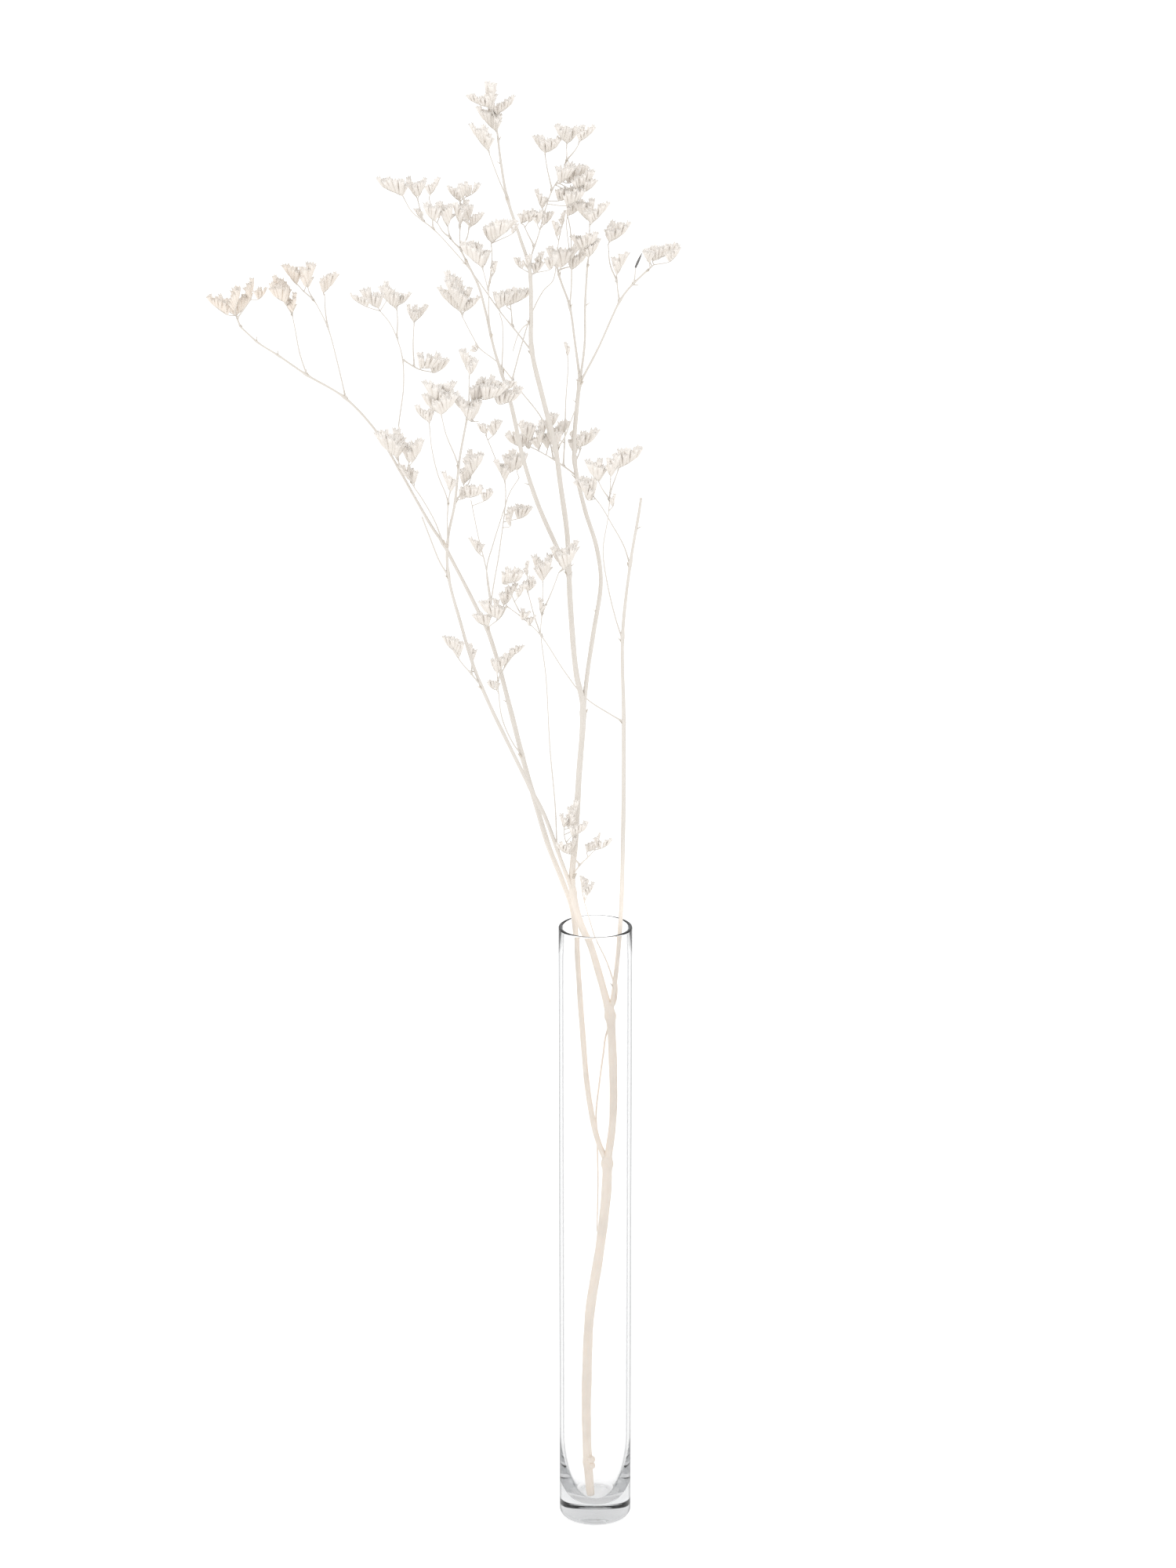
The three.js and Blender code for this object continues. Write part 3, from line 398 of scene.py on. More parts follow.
# Sprays: the stem that carries them, the paths of their twigs, and their combs. A comb is a
# flower stalk: x and z of its foot, x and z of its end, and the length of its spikelets.
SPRAYS = {
    "spray_collar": {
        "on": "right_stem",
        "twigs": [
            [[10.4, 314], [6, 327], [0, 340], [-3, 350], [-5.9, 360.5, -11]],
        ],
        "combs": [[-7, 366, -7.4, 371, 5.5], [-4.5, 364.5, -2, 368, 4.5], [-5.5, 366, -4.5, 369.5, 4]],
    },
    "spray_throat": {
        "on": "centre_stem",
        "twigs": [
            [[-11.7, 376], [-8, 382], [-4, 386, -9], [-0.5, 390, -12]],
            [[-8, 382], [-13, 388], [-16.5, 397], [-17, 403, -14]],
        ],
        "combs": [[-4.5, 389, 0, 391, 5.2], [1.5, 390.5, 6, 392.5, 4.5], [-14, 388, -12, 391.5, 5],
            [-15, 388, -18.5, 390, 5], [-13, 401, -11, 411, 6.5], [-12.5, 398, -6.5, 401, 5.5],
            [-16.8, 402.5, -18, 406, 4.5], [0.5, 392, 1.5, 395.5, 3.8], [-13.5, 403, -14, 409.5, 5.5]],
    },
    "spray_fan": {
        "on": "right_stem",
        "twigs": [
            [[14.6, 462], [8, 465.6], [-5.6, 475, -20], [-16.3, 489], [-29, 509, -26], [-38, 518],
                [-47, 525, -32]],
            [[-29, 509], [-32.5, 520], [-35.5, 532, -22]],
            [[-38, 518], [-43.5, 529], [-46, 536.5, -38]],
            [[-47, 525], [-50, 519], [-56, 514, -30]],
        ],
        "combs": [[-49, 537, -41, 538.5, 7.5], [-36, 533, -33, 535, 6.5], [-48.5, 525.5, -45.5, 528, 6],
            [-51.5, 518, -57.5, 521.5, 7], [-57, 514, -62, 516, 5.5], [-39, 517.5, -36.5, 518.5, 4.8],
            [-52, 518, -52.5, 523, 6], [-35.5, 514.5, -33, 517, 3.8], [-47, 530, -43, 533, 5],
            [-41, 529.5, -38.5, 533, 4.5], [-36, 541, -35.8, 545.5, 3.8]],
    },
    "spray_veil": {
        "on": "front_stem",
        "twigs": [
            [[-21.2, 391], [-21.6, 415], [-24.3, 447], [-26.3, 486], [-29, 511, -10], [-28.2, 522],
                [-27.8, 537, -12]],
            [[-28.2, 521], [-23.2, 532.6], [-19.4, 543, -16]],
        ],
        "combs": [[-27.8, 539.5, -30.5, 544.5, 7.5], [-27.8, 538.5, -25.4, 543.5, 8.5],
            [-17, 545, -20, 549.5, 8], [-16.5, 545, -13, 549, 8.5], [-15, 548, -11.5, 554, 6.5],
            [-29, 521.5, -29.5, 526, 4.5]],
    },
    "spray_bend": {
        "on": "front_stem",
        "twigs": [
            [[-61.6, 481], [-66, 488], [-71, 494], [-75, 500, -32]],
            [[-66, 488], [-65.5, 494, -15]],
        ],
        "combs": [[-75.5, 501, -78.5, 504, 5.5], [-72.5, 497, -71, 500.5, 6], [-65.5, 494.5, -67, 499, 6],
            [-73.5, 499.5, -75.3, 503, 5.5]],
    },
    "spray_between": {
        "on": "left_stem",
        "twigs": [
            [[-39.6, 443], [-43.6, 449, 13], [-49.6, 463], [-51.5, 478], [-52.3, 489, 4]],
            [[-51.8, 484], [-46, 495], [-42, 499.5, -2]],
        ],
        "combs": [[-52.5, 479, -55.5, 480.5, 4.5], [-52, 488.5, -49, 492.5, 6.8],
            [-52.3, 488.5, -54.5, 492, 5.5], [-43.5, 498.5, -40, 500.5, 4], [-48, 492.5, -44.5, 497, 5]],
    },
    "spray_elbow": {
        "on": "left_stem",
        "twigs": [
            [[-58.4, 513], [-55.6, 524, 15], [-53.8, 536], [-50.4, 556], [-47.3, 590, 4], [-51.2, 601],
                [-55.8, 613], [-57.5, 617, 0]],
            [[-55.2, 525], [-57.3, 545], [-54, 558, 26], [-48, 577], [-45, 586], [-40, 594, 28]],
            [[-55, 527], [-57.7, 545.6], [-61.5, 562, 8], [-65.3, 582, 4]],
        ],
        "combs": [[-41, 572, -37, 573.5, 6.8], [-44.8, 568, -44.5, 572, 6.5], [-61, 553, -64, 557, 5.5],
            [-58.5, 581.5, -55.5, 583.5, 5], [-57, 617.5, -60, 619, 4.5], [-53.5, 616.5, -51.2, 619.5, 6],
            [-46, 596, -40.5, 600, 8], [-47.5, 592.5, -49.8, 597, 6.5], [-46, 600, -43.8, 603, 6.2],
            [-41, 598, -38, 601.5, 6.5]],
    },
    "spray_heart": {
        "on": "front_stem",
        "twigs": [
            [[-73.6, 581], [-70, 586, -30], [-66.5, 591], [-64.5, 597, -24]],
        ],
        "combs": [[-69, 590.5, -64.5, 596, 8.5], [-65, 596, -61, 601, 8], [-70.5, 582.5, -66.5, 584.5, 6],
            [-66.5, 583.5, -61, 585, 5.5], [-66, 598, -65.2, 603, 6.5]],
    },
    "spray_left_twin": {
        "on": "front_stem",
        "twigs": [
            [[-77.7, 558], [-77.8, 572], [-77.6, 582, -40], [-82.6, 596], [-85.6, 610], [-86.5, 620, -34]],
            [[-77.6, 581], [-76.2, 587, -44]],
        ],
        "combs": [[-87, 623.5, -92.5, 628.5, 5.2], [-76, 586.5, -77.8, 591, 6.5],
            [-86.5, 623.5, -85, 627, 5.5]],
    },
    "spray_big_fan": {
        "on": "front_stem",
        "twigs": [
            [[-71.4, 600], [-73.6, 606, -40], [-78, 617], [-80.3, 627, -54]],
        ],
        "combs": [[-80.5, 627.5, -87, 632.5, 8], [-80.3, 627.5, -76, 631.5, 9], [-80.5, 628, -81, 636, 8],
            [-81, 634, -85.5, 638, 7.5], [-80, 634, -76.5, 638, 7.5]],
    },
    "spray_shoulder": {
        "on": "front_stem",
        "twigs": [
            [[-66.9, 626], [-66, 634, -42], [-65.8, 648, -46]],
            [[-66.1, 632], [-60, 636.5, -36], [-50, 640], [-43, 643, -28]],
            [[-66.5, 630], [-63.5, 624, -46], [-61, 624, -48]],
        ],
        "combs": [[-65.5, 649, -68.5, 655.5, 7], [-65.5, 648.5, -63, 651.5, 5.5],
            [-64, 634, -58.5, 637, 7.5], [-58, 635.5, -51, 637.5, 7.5], [-61, 638.5, -56, 641, 7.2],
            [-56, 638.5, -51, 640, 6.8], [-50.5, 633, -43, 635, 6.5], [-50, 640, -43.5, 642, 4.5],
            [-65, 624, -62, 628, 8], [-67, 629, -71, 631.5, 6.5], [-46, 634.5, -41, 637.5, 5.5],
            [-66, 624.5, -69, 629, 7]],
    },
    "spray_left_low": {
        "on": "left_stem",
        "twigs": [
            [[-79.1, 559], [-84.5, 571, 23], [-91, 583], [-96, 591, 20], [-98, 601, 18]],
            [[-96, 592], [-101.5, 600], [-104.5, 605, 12]],
        ],
        "combs": [[-95, 591, -99.5, 595, 7], [-96, 602, -92.5, 607, 8], [-97.5, 602, -100, 607, 7.5],
            [-104, 605, -110, 610, 9.5], [-103.6, 605, -104, 611.5, 8.5]],
    },
    "spray_left_high": {
        "on": "left_stem",
        "twigs": [
            [[-102.8, 599], [-102.8, 620, 29], [-99.9, 642], [-100.2, 657, 24], [-103.2, 668.5],
                [-106.7, 676], [-111.5, 682, 14]],
            [[-100.2, 656], [-91.7, 651.5], [-85, 650, 30]],
            [[-103.2, 668.5], [-102.5, 677], [-102.8, 683, 28]],
            [[-94, 652.5], [-94.6, 665], [-94, 675, 38]],
        ],
        "combs": [[-112.5, 683.5, -117.5, 686.5, 7.8], [-118, 684, -125, 688, 3.8],
            [-103.5, 683.5, -108.5, 688, 7.5], [-108, 688, -108.5, 692, 6], [-102, 685, -98, 687.5, 4.5],
            [-94.2, 676.5, -96.3, 680, 5.5], [-93.5, 676.5, -88.5, 681.5, 4.6],
            [-91, 652, -84.5, 652.5, 7.8], [-84.5, 649.5, -80, 651.5, 6.8], [-94, 677, -93, 681, 5]],
    },
    "spray_far_tip": {
        "on": "left_stem",
        "twigs": [
            [[-184, 674], [-186, 679.5, 51]],
            [[-185.4, 678], [-181, 684, 46], [-178, 688, 42]],
        ],
        "combs": [[-186, 679.5, -191, 683, 7.5], [-190.5, 680, -198, 685.5, 5.8],
            [-185.5, 680, -181, 684.5, 7.5], [-174.5, 688, -171.5, 690.5, 4.8],
            [-178, 688.5, -177.5, 692, 7], [-186.5, 682, -185, 688, 7.5]],
    },
    "spray_far_high": {
        "on": "left_stem",
        "twigs": [
            [[-130, 636], [-134, 655, 44], [-138.5, 673], [-143, 683], [-148, 692, 40]],
            [[-138.7, 673.5], [-139.8, 683], [-140, 691, 54]],
            [[-146, 688.5], [-151, 692.5], [-154, 696, 34]],
        ],
        "combs": [[-154.5, 696, -158, 700.5, 7], [-149.5, 694.5, -147, 699.5, 8],
            [-140.5, 691.5, -137, 695, 7.3], [-148.5, 694, -150.5, 698.5, 6.5]],
    },
    "spray_far_low": {
        "on": "left_stem",
        "twigs": [
            [[-150, 648.5], [-153.5, 660, 42], [-155.5, 672], [-157, 680.5, 36]],
            [[-157, 680], [-160, 685.5], [-161.5, 690, 30]],
        ],
        "combs": [[-157, 681, -160, 685, 6], [-160.5, 686.5, -165.5, 689.5, 7.5],
            [-161.5, 690, -164.5, 694.5, 6], [-156.5, 681.5, -155.5, 686, 5], [-160, 687, -161.5, 692, 7]],
    },
    "spray_inner": {
        "on": "right_fork",
        "twigs": [
            [[-9.6, 595], [-16.4, 600, 26], [-24, 605], [-33, 610], [-38, 612.5, 22]],
            [[-22, 604], [-23.5, 612], [-24.5, 618.5, 32]],
            [[-17, 601], [-16, 618, 30], [-15.6, 634], [-14.4, 652], [-14.6, 659, 26]],
        ],
        "combs": [[-38.5, 610.5, -43.5, 612.5, 6.5], [-34, 614, -37.5, 617, 7.5],
            [-28, 613, -27, 618.5, 7], [-24.5, 619, -22, 622.5, 7], [-19.5, 615, -16.5, 618.5, 6.8],
            [-14.6, 658.5, -15.4, 662, 4], [-35, 609.5, -37, 612, 5.5], [-30, 609.5, -29, 613, 6],
            [-25, 609.5, -24, 614, 6.5], [-21, 609.5, -19, 613.5, 6.5]],
    },
    "spray_knuckle": {
        "on": "right_fork",
        "twigs": [
            [[-10.9, 602], [-8.6, 607, 34], [-7.5, 610, 42]],
        ],
        "combs": [[-8, 610.5, -3, 613, 7.5], [-9, 610.5, -12, 614.5, 5.5], [-10.5, 606.5, -13, 610, 5]],
    },
    "spray_right_low": {
        "on": "right_stem",
        "twigs": [
            [[14.3, 506], [10.6, 518], [6.2, 537, -26], [3.9, 555], [6.6, 573.6], [7.8, 592, -33]],
            [[7.4, 583], [3.5, 588], [1.5, 592, -40]],
            [[7.6, 586], [10, 593], [12, 598.5, -26]],
        ],
        "combs": [[1.5, 592, -2, 596, 7.5], [8, 595, 9.8, 599, 6.5], [12, 599, 21, 604.5, 7.5],
            [9, 578.5, 9.6, 582, 3.8], [1.5, 593, 2.3, 598, 6.5], [7.8, 594.5, 7, 598.5, 6.5],
            [12, 600, 13.5, 603.5, 6.5]],
    },
    "spray_right_cross": {
        "on": "right_stem",
        "twigs": [
            [[18.4, 547], [15, 557, -24], [8, 570], [2.8, 579], [-1, 584, -12]],
        ],
        "combs": [[-2.5, 582.5, -6, 586.5, 8.5], [-2, 586, -7.5, 588, 7.5], [-1, 584, -0.6, 588.5, 6],
            [-4, 582, -6, 586, 7]],
    },
    "spray_back_left": {
        "on": "centre_stem",
        "twigs": [
            [[-20.8, 609], [-28.6, 626.4, 15], [-39, 640], [-49.7, 654, 24], [-60.4, 662.8], [-63.4, 668],
                [-69, 679, 34]],
            [[-44, 646], [-38.5, 664, 30], [-33, 681], [-27, 692.6, 29], [-22, 698], [-20, 712],
                [-18.8, 720, 26]],
        ],
        "combs": [[-70, 681.5, -78, 688.5, 7.5], [-69.3, 682, -74.5, 691, 8.5],
            [-71, 689, -74.5, 694.5, 8], [-68, 681.5, -63, 685, 5], [-60.8, 663, -62.5, 660.5, 3.5],
            [-20, 720.5, -21, 724, 5.5], [-17.3, 726, -16, 731, 4.5], [-67.5, 684, -65.5, 689.5, 6]],
    },
    "spray_arm": {
        "on": "centre_stem",
        "twigs": [
            [[-33.2, 660], [-40.1, 670, 13], [-49.7, 682], [-57, 692.5], [-66, 705], [-72, 712, 20],
                [-83, 724], [-94.5, 733.5], [-98.5, 740.5, 26]],
            [[-88, 728.5], [-90, 734], [-91.5, 740, 32]],
            [[-83, 724.5], [-84.5, 735], [-85.6, 741, 14]],
            [[-43.5, 674], [-43.5, 680], [-44, 685, 22]],
        ],
        "combs": [[-99.5, 742, -109, 746, 6.2], [-99, 741.5, -104, 744, 8], [-92, 741, -94.8, 744.5, 6.5],
            [-91, 741, -89, 744.5, 6.5], [-89.5, 730, -92, 732.5, 3.6], [-85, 742, -82, 746, 5],
            [-50.5, 683, -51.8, 687, 5.5], [-46, 684.5, -40, 687.5, 7.3], [-43.8, 685.5, -36.5, 689, 5.5],
            [-49.5, 683.5, -45, 687, 7.2]],
    },
    "spray_side_top": {
        "on": "side_stem",
        "twigs": [
            [[-67, 708.5], [-69, 713, -28], [-70, 720], [-69.6, 727, -31]],
            [[-69.2, 715], [-66.2, 720], [-65.2, 726, -20]],
            [[-69.2, 714], [-74.5, 719.5], [-76.4, 727, -36]],
            [[-74.5, 719.5], [-78.5, 723], [-81.5, 728, -44]],
            [[-69.7, 725], [-70, 733], [-69.6, 739, -30]],
        ],
        "combs": [[-77, 727, -79, 731.5, 7.5], [-82.5, 728.5, -86, 731.5, 6.3],
            [-69.4, 727, -67.5, 732, 8], [-64.5, 725.5, -59.8, 729, 5], [-70, 739, -74, 742.5, 4.8],
            [-68.5, 740, -66.5, 744, 6], [-66.5, 741, -62, 743.5, 5.2], [-75.5, 727, -74.5, 731.5, 7.5],
            [-80.5, 730, -80, 733.5, 5.5], [-70, 728, -71.5, 732, 6.5], [-66, 728, -64.3, 731.5, 6]],
    },
    "spray_side_low": {
        "on": "side_stem",
        "twigs": [
            [[-54.4, 669], [-55.4, 681, -24], [-55.4, 691], [-57, 699], [-58.5, 704.5, -34]],
            [[-55.6, 693], [-53.8, 700], [-52.6, 703, -22]],
            [[-54.6, 697], [-53.4, 710], [-53.8, 717, -28]],
        ],
        "combs": [[-58.6, 705.5, -62, 711.5, 7.5], [-59, 705, -66, 711, 8], [-58, 705, -56, 708.5, 6],
            [-52.5, 701.5, -51.5, 704.5, 4], [-54, 718, -56.5, 721, 6], [-53.6, 718, -47, 722.5, 8.3],
            [-49, 721, -44, 725, 5.2], [-43, 722, -40.5, 725, 3]],
    },
    "spray_crown": {
        "on": "centre_stem",
        "twigs": [
            [[-50, 771], [-51, 779, 12], [-53.4, 788, 12], [-54, 795, 12]],
        ],
        "combs": [[-51, 774.5, -57, 780.5, 7.2], [-53, 786, -63.5, 790, 4.5],
            [-50.5, 783, -43.5, 788, 5.5], [-54, 787, -55, 792.5, 7.5], [-51, 776, -53.5, 783, 7],
            [-53.5, 786, -52.5, 792, 7]],
    },
    "spray_crown_left": {
        "on": "centre_stem",
        "twigs": [
            [[-45.6, 740], [-49.7, 750, 5], [-54.3, 762.6, 2]],
        ],
        "combs": [[-55, 764.5, -61.5, 772.5, 6.5], [-54.8, 766, -57, 772, 5.5]],
    },
    "spray_crown_right": {
        "on": "centre_stem",
        "twigs": [
            [[-34.2, 700], [-33, 711, 16], [-29.6, 721], [-25.6, 735.6, 24], [-22.2, 745], [-18, 752],
                [-15, 761, 32], [-15, 767.5, 32]],
            [[-22.6, 744], [-25, 756], [-26, 763, 40]],
            [[-15.3, 760], [-10.5, 765], [-8.3, 769, 24]],
            [[-31.2, 716], [-35, 722], [-37, 726.5, 22]],
        ],
        "combs": [[-38, 704, -40.5, 706, 4.5], [-18.5, 748, -14, 751, 8.5], [-14, 748, -7, 752, 6.8],
            [-10, 744.5, -3.5, 749.5, 6.5], [-19, 739, -13, 741, 6.5], [-26, 763.5, -21, 766, 7],
            [-26, 763.5, -30, 768, 6.3], [-15, 768.5, -18.5, 772.5, 7], [-14.5, 768.5, -11.5, 771, 6.8],
            [-8, 769.5, -2.5, 773.5, 4.6], [-38.5, 727.5, -35, 729, 6], [-30, 727, -28.5, 729.5, 5.5],
            [-27.5, 735, -29.8, 740.5, 5.5], [-35.5, 704.5, -34.5, 707, 4.5],
            [-29.5, 705.5, -28, 708.5, 4.5], [-15, 736.5, -9, 739.5, 6.5], [-8.5, 770, -6.5, 774, 4.6],
            [-34.5, 728, -32.5, 729.5, 5], [-27, 726.5, -24, 729, 5.5], [-9, 742, -2.5, 745.5, 6.5],
            [-31.5, 701.5, -29.5, 703, 6], [-23.5, 703.5, -22, 705.5, 6.5]],
    },
    "spray_fork_left": {
        "on": "fork_left",
        "twigs": [
            [[-19.2, 701], [-19.8, 704, 44]],
            [[-19.6, 703], [-15.5, 704.5], [-12.5, 705, 40]],
        ],
        "combs": [[-20, 704, -22.8, 708.5, 7.5], [-18, 704.5, -14, 708, 9],
            [-12.5, 703.5, -7.5, 707.5, 7.5], [-14.5, 731, -9.5, 734, 6.5]],
    },
    "spray_fork_middle": {
        "on": "fork_middle",
        "twigs": [
            [[-4.3, 706], [-3.4, 713, 25], [-3.2, 727.5, 21]],
        ],
        "combs": [[-4.2, 710.5, -9, 715, 7.5], [-3.6, 710, -0.5, 713.5, 6.5], [-3, 728, -8.5, 733.5, 7],
            [-2, 727.5, 4, 733.5, 6], [-3, 728.5, -2, 733.5, 7], [-7, 714.5, -2, 717, 6.5]],
    },
    "spray_fork_right": {
        "on": "fork_right",
        "twigs": [
            [[27, 703.5], [30, 706, 10]],
        ],
        "combs": [[28, 708, 40, 712.5, 5.6], [27.5, 707, 26, 709.5, 6], [29.5, 708, 35, 710.5, 7.2],
            [38, 707.5, 42, 711.5, 4.6]],
    },
    "spray_fork_twin": {
        "on": "fork_right",
        "twigs": [
            [[12.4, 687], [11.2, 694, 24], [10.8, 700.5, 26]],
            [[11, 697], [7.4, 706], [6.4, 716.5, 33]],
        ],
        "combs": [[10.8, 701, 9.5, 705, 5], [11, 701, 13.5, 705.5, 7], [7, 718, 8.5, 723, 5.8],
            [7.5, 718, 14, 722, 7]],
    },
}


# ---------------------------------------------------------------- curves
def placed(front):
    """Rows of x, z, y in millimetres to points in metres: a point at depth y lies on the ray
    from the eye through (x, z) on the plane y = 0, so it is eye + (point - eye) * reach."""
    reach = (front[..., 2] - EYE[1]) / -EYE[1]
    x = EYE[0] + (front[..., 0] - EYE[0]) * reach
    z = EYE[2] + (front[..., 1] - EYE[2]) * reach
    return np.stack([x, front[..., 2], z], axis=-1) * MM


def unit(vectors):
    """Each vector divided by its length."""
    return vectors / np.maximum(np.linalg.norm(vectors, axis=-1, keepdims=True), 1e-9)


def travelled(points):
    """The length of the path from its first point to each point."""
    steps = np.linalg.norm(np.diff(points, axis=0), axis=-1)
    return np.concatenate([[0.0], np.cumsum(steps)])


def with_depths(path, first_depth=None):
    """The path as rows of x, z, y: a depth that is left out runs evenly with the length."""
    flat = np.array([point[:2] for point in path], float)
    depths = np.array([point[2] if len(point) > 2 else np.nan for point in path])
    if first_depth is not None:
        depths[0] = first_depth
    along = travelled(flat)
    known = ~np.isnan(depths)
    return np.column_stack([flat, np.interp(along, along[known], depths[known])])


def smooth(points):
    """The centripetal Catmull-Rom curve through the points: each span is a cubic whose end
    slopes are weighted by the square roots of the distances to the neighbouring points."""
    ends = 2 * points[[0, -1]] - points[[1, -2]]
    p = np.vstack([ends[:1], points, ends[1:]])
    knots = np.sqrt(np.linalg.norm(np.diff(p, axis=0), axis=-1))[:, None]
    before, within, after = knots[:-2], knots[1:-1], knots[2:]
    step = np.diff(p, axis=0)
    span_in = (p[2:-1] - p[:-3]) / (before + within)
    span_out = (p[3:] - p[1:-2]) / (within + after)
    slope_in = (step[:-2] / before - span_in + step[1:-1] / within) * within
    slope_out = (step[1:-1] / within - span_out + step[2:] / after) * within
    t = np.linspace(0, 1, CURVE_SAMPLES, endpoint=False)[:, None, None]
    start, end = p[1:-2], p[2:-1]
    cubic = 2 * start - 2 * end + slope_in + slope_out
    square = -3 * start + 3 * end - 2 * slope_in - slope_out
    curve = cubic * t**3 + square * t**2 + slope_in * t + start
    return np.vstack([curve.transpose(1, 0, 2).reshape(-1, points.shape[1]), points[-1:]])


def resampled(points, step):
    """The same path with points a step apart."""
    along = travelled(points)
    count = max(3, int(np.ceil(along[-1] / step)) + 1)
    even = np.linspace(0, along[-1], count)
    return np.column_stack([np.interp(even, along, column) for column in points.T])


def line_of(path, width, step, first_depth=None):
    """A path as a line of points a step apart, with a radius that runs evenly between the widths
    at equal stretches from its foot to its tip. front holds its points as x, z, y in
    millimetres, and at holds them in metres."""
    front = resampled(smooth(with_depths(path, first_depth)), step / MM)
    at = placed(front)
    along = travelled(at)
    radius = np.interp(along, np.linspace(0, along[-1], len(width)), width) * MM / 2
    return {"front": front, "at": at, "along": along, "radius": radius, "sprouts": []}


def nearest(lines, x, z):
    """The line and the place on it that are nearest to (x, z) in the front elevation."""
    gaps = [np.hypot(line["front"][:, 0] - x, line["front"][:, 1] - z) for line in lines]
    best = int(np.argmin([gap.min() for gap in gaps]))
    return lines[best], int(np.argmin(gaps[best]))


def grown_line(path, width, step, parents):
    """A line that grows from the centre of the nearest parent, which swells there."""
    parent, spot = nearest(parents, *path[0][:2])
    x, z, y = parent["front"][spot]
    line = line_of([[x, z, y], *path[1:]], width, step, y)
    line["parent"] = (parent, spot)
    parent["sprouts"].append((parent["along"][spot], line["radius"][0]))
    return line


# ---------------------------------------------------------------- surfaces
# A surface is a table with a row for each vertex: x, y, z, then the three numbers that its
# pattern is read from, then its tone.
COLUMNS = 7


def frames(points):
    """Unit tangent, across and upward at each point, each at right angles to the others."""
    tangent = unit(np.gradient(points, axis=0))
    across = unit(np.cross(DEPTHWARD, tangent))
    return tangent, across, np.cross(tangent, across)


def closed_shells(rings, first, last):
    """Rings (copies, rows, sides, columns) joined by quads, and closed by a fan of triangles
    on the pole before the first ring and on the pole after the last one."""
    copies, rows, sides, columns = rings.shape
    poles = np.stack([first, last], axis=1)
    vertices = np.concatenate([rings.reshape(copies, rows * sides, columns), poles], axis=1)
    row, side = np.meshgrid(np.arange(rows - 1), np.arange(sides), indexing="ij")
    corner = row * sides + side
    beside = row * sides + (side + 1) % sides
    quads = np.stack([corner, beside, beside + sides, corner + sides], axis=-1).reshape(-1, 4)
    rim = np.arange(sides)
    turned = (rim + 1) % sides
    end = (rows - 1) * sides
    foot_fan = np.column_stack([np.full(sides, rows * sides), turned, rim])
    tip_fan = np.column_stack([np.full(sides, rows * sides + 1), end + rim, end + turned])
    offsets = (np.arange(copies) * (rows * sides + 2))[:, None, None]
    quads = (quads + offsets).reshape(-1, 4)
    fans = (np.concatenate([foot_fan, tip_fan]) + offsets).reshape(-1, 3)
    return vertices.reshape(-1, columns), quads, fans


def tube(line, sides, random, ribs=0.0):
    """A profile carried along a line: the radius times 1 + ribs * cos(STEM_RIBS * angle + twist),
    with a swelling like a bell curve at each sprout, a flare that dies away from the foot where
    the line leaves its parent, and a slight waver."""
    tangent, across, upward = frames(line["at"])
    along = line["along"]
    radius = line["radius"].copy()
    for spot, sprout in line["sprouts"]:
        radius += NODE_SWELLING * sprout * np.exp(-(((along - spot) / NODE_LENGTH) ** 2))
    if "parent" in line:
        radius *= 1 + AXIL_FLARE * np.exp(-along / AXIL_LENGTH)
    phase = random.uniform(0, 2 * np.pi, 4)
    waves = [np.sin(along / length + start) for length, start in zip(WAVER_LENGTHS, phase)]
    radius *= 1 + WAVER_DEPTH * sum(waves)
    angle = np.linspace(0, 2 * np.pi, sides, endpoint=False)
    twist = phase[2] + along / TWIST_LENGTH
    ribbing = 1 + ribs * np.cos(STEM_RIBS * angle + twist[:, None])
    reach = radius[:, None] * ribbing
    ring = across[:, None] * np.cos(angle)[:, None] + upward[:, None] * np.sin(angle)[:, None]
    places = line["at"][:, None] + ring * reach[..., None]
    tone = random.uniform(*STEM_TONES)
    pattern = np.stack(
        [
            np.broadcast_to(np.cos(angle), places.shape[:2]),
            np.broadcast_to(np.sin(angle), places.shape[:2]),
            np.broadcast_to((along / GRAIN_LENGTH + phase[3])[:, None], places.shape[:2]),
            np.full(places.shape[:2], tone),
        ],
        axis=-1,
    )
    rings = np.concatenate([places, pattern], axis=-1)[None]
    first = rings[:, 0].mean(axis=1)
    last = rings[:, -1].mean(axis=1)
    last[:, :3] += tangent[-1] * radius[-1]
    return closed_shells(rings, first, last)


def scales(rows, tone=SCALE_TONE):
    """Pointed scales, each a row of base, direction, outward, length and width. Their rings are
    flat ellipses whose middles follow base + direction * s * length and bend outwards with s
    squared, and that widen and narrow again to a point."""
    bases, directions, outwards, lengths, widths = (np.array(values) for values in zip(*rows))
    angle = np.linspace(0, 2 * np.pi, SCALE_SIDES, endpoint=False)
    directions = unit(directions)
    across = unit(np.cross(outwards, directions))
    outwards = np.cross(directions, across)
    long = lengths[:, None, None]
    middle = bases[:, None] + directions[:, None] * SCALE_HEIGHTS[:, None] * long
    middle = middle + outwards[:, None] * (SCALE_HEIGHTS**2)[:, None] * SCALE_BEND * long
    half = widths[:, None, None] * SCALE_WIDTHS[:, None] / 2
    ring = middle[:, :, None] + across[:, None, None] * (np.cos(angle) * half)[..., None]
    ring = ring + outwards[:, None, None] * (np.sin(angle) * half * SCALE_THINNESS)[..., None]
    pattern = np.zeros((*ring.shape[:3], 4))
    pattern[..., 0] = np.cos(angle)
    pattern[..., 2] = SCALE_HEIGHTS[:, None]
    pattern[..., 3] = tone
    rings = np.concatenate([ring, pattern], axis=-1)
    first = rings[:, 0].mean(axis=1)
    last = rings[:, -1].mean(axis=1)
    reach = lengths[:, None]
    last[:, :3] = bases + directions * reach + outwards * SCALE_TIP_BEND * reach
    return closed_shells(rings, first, last)


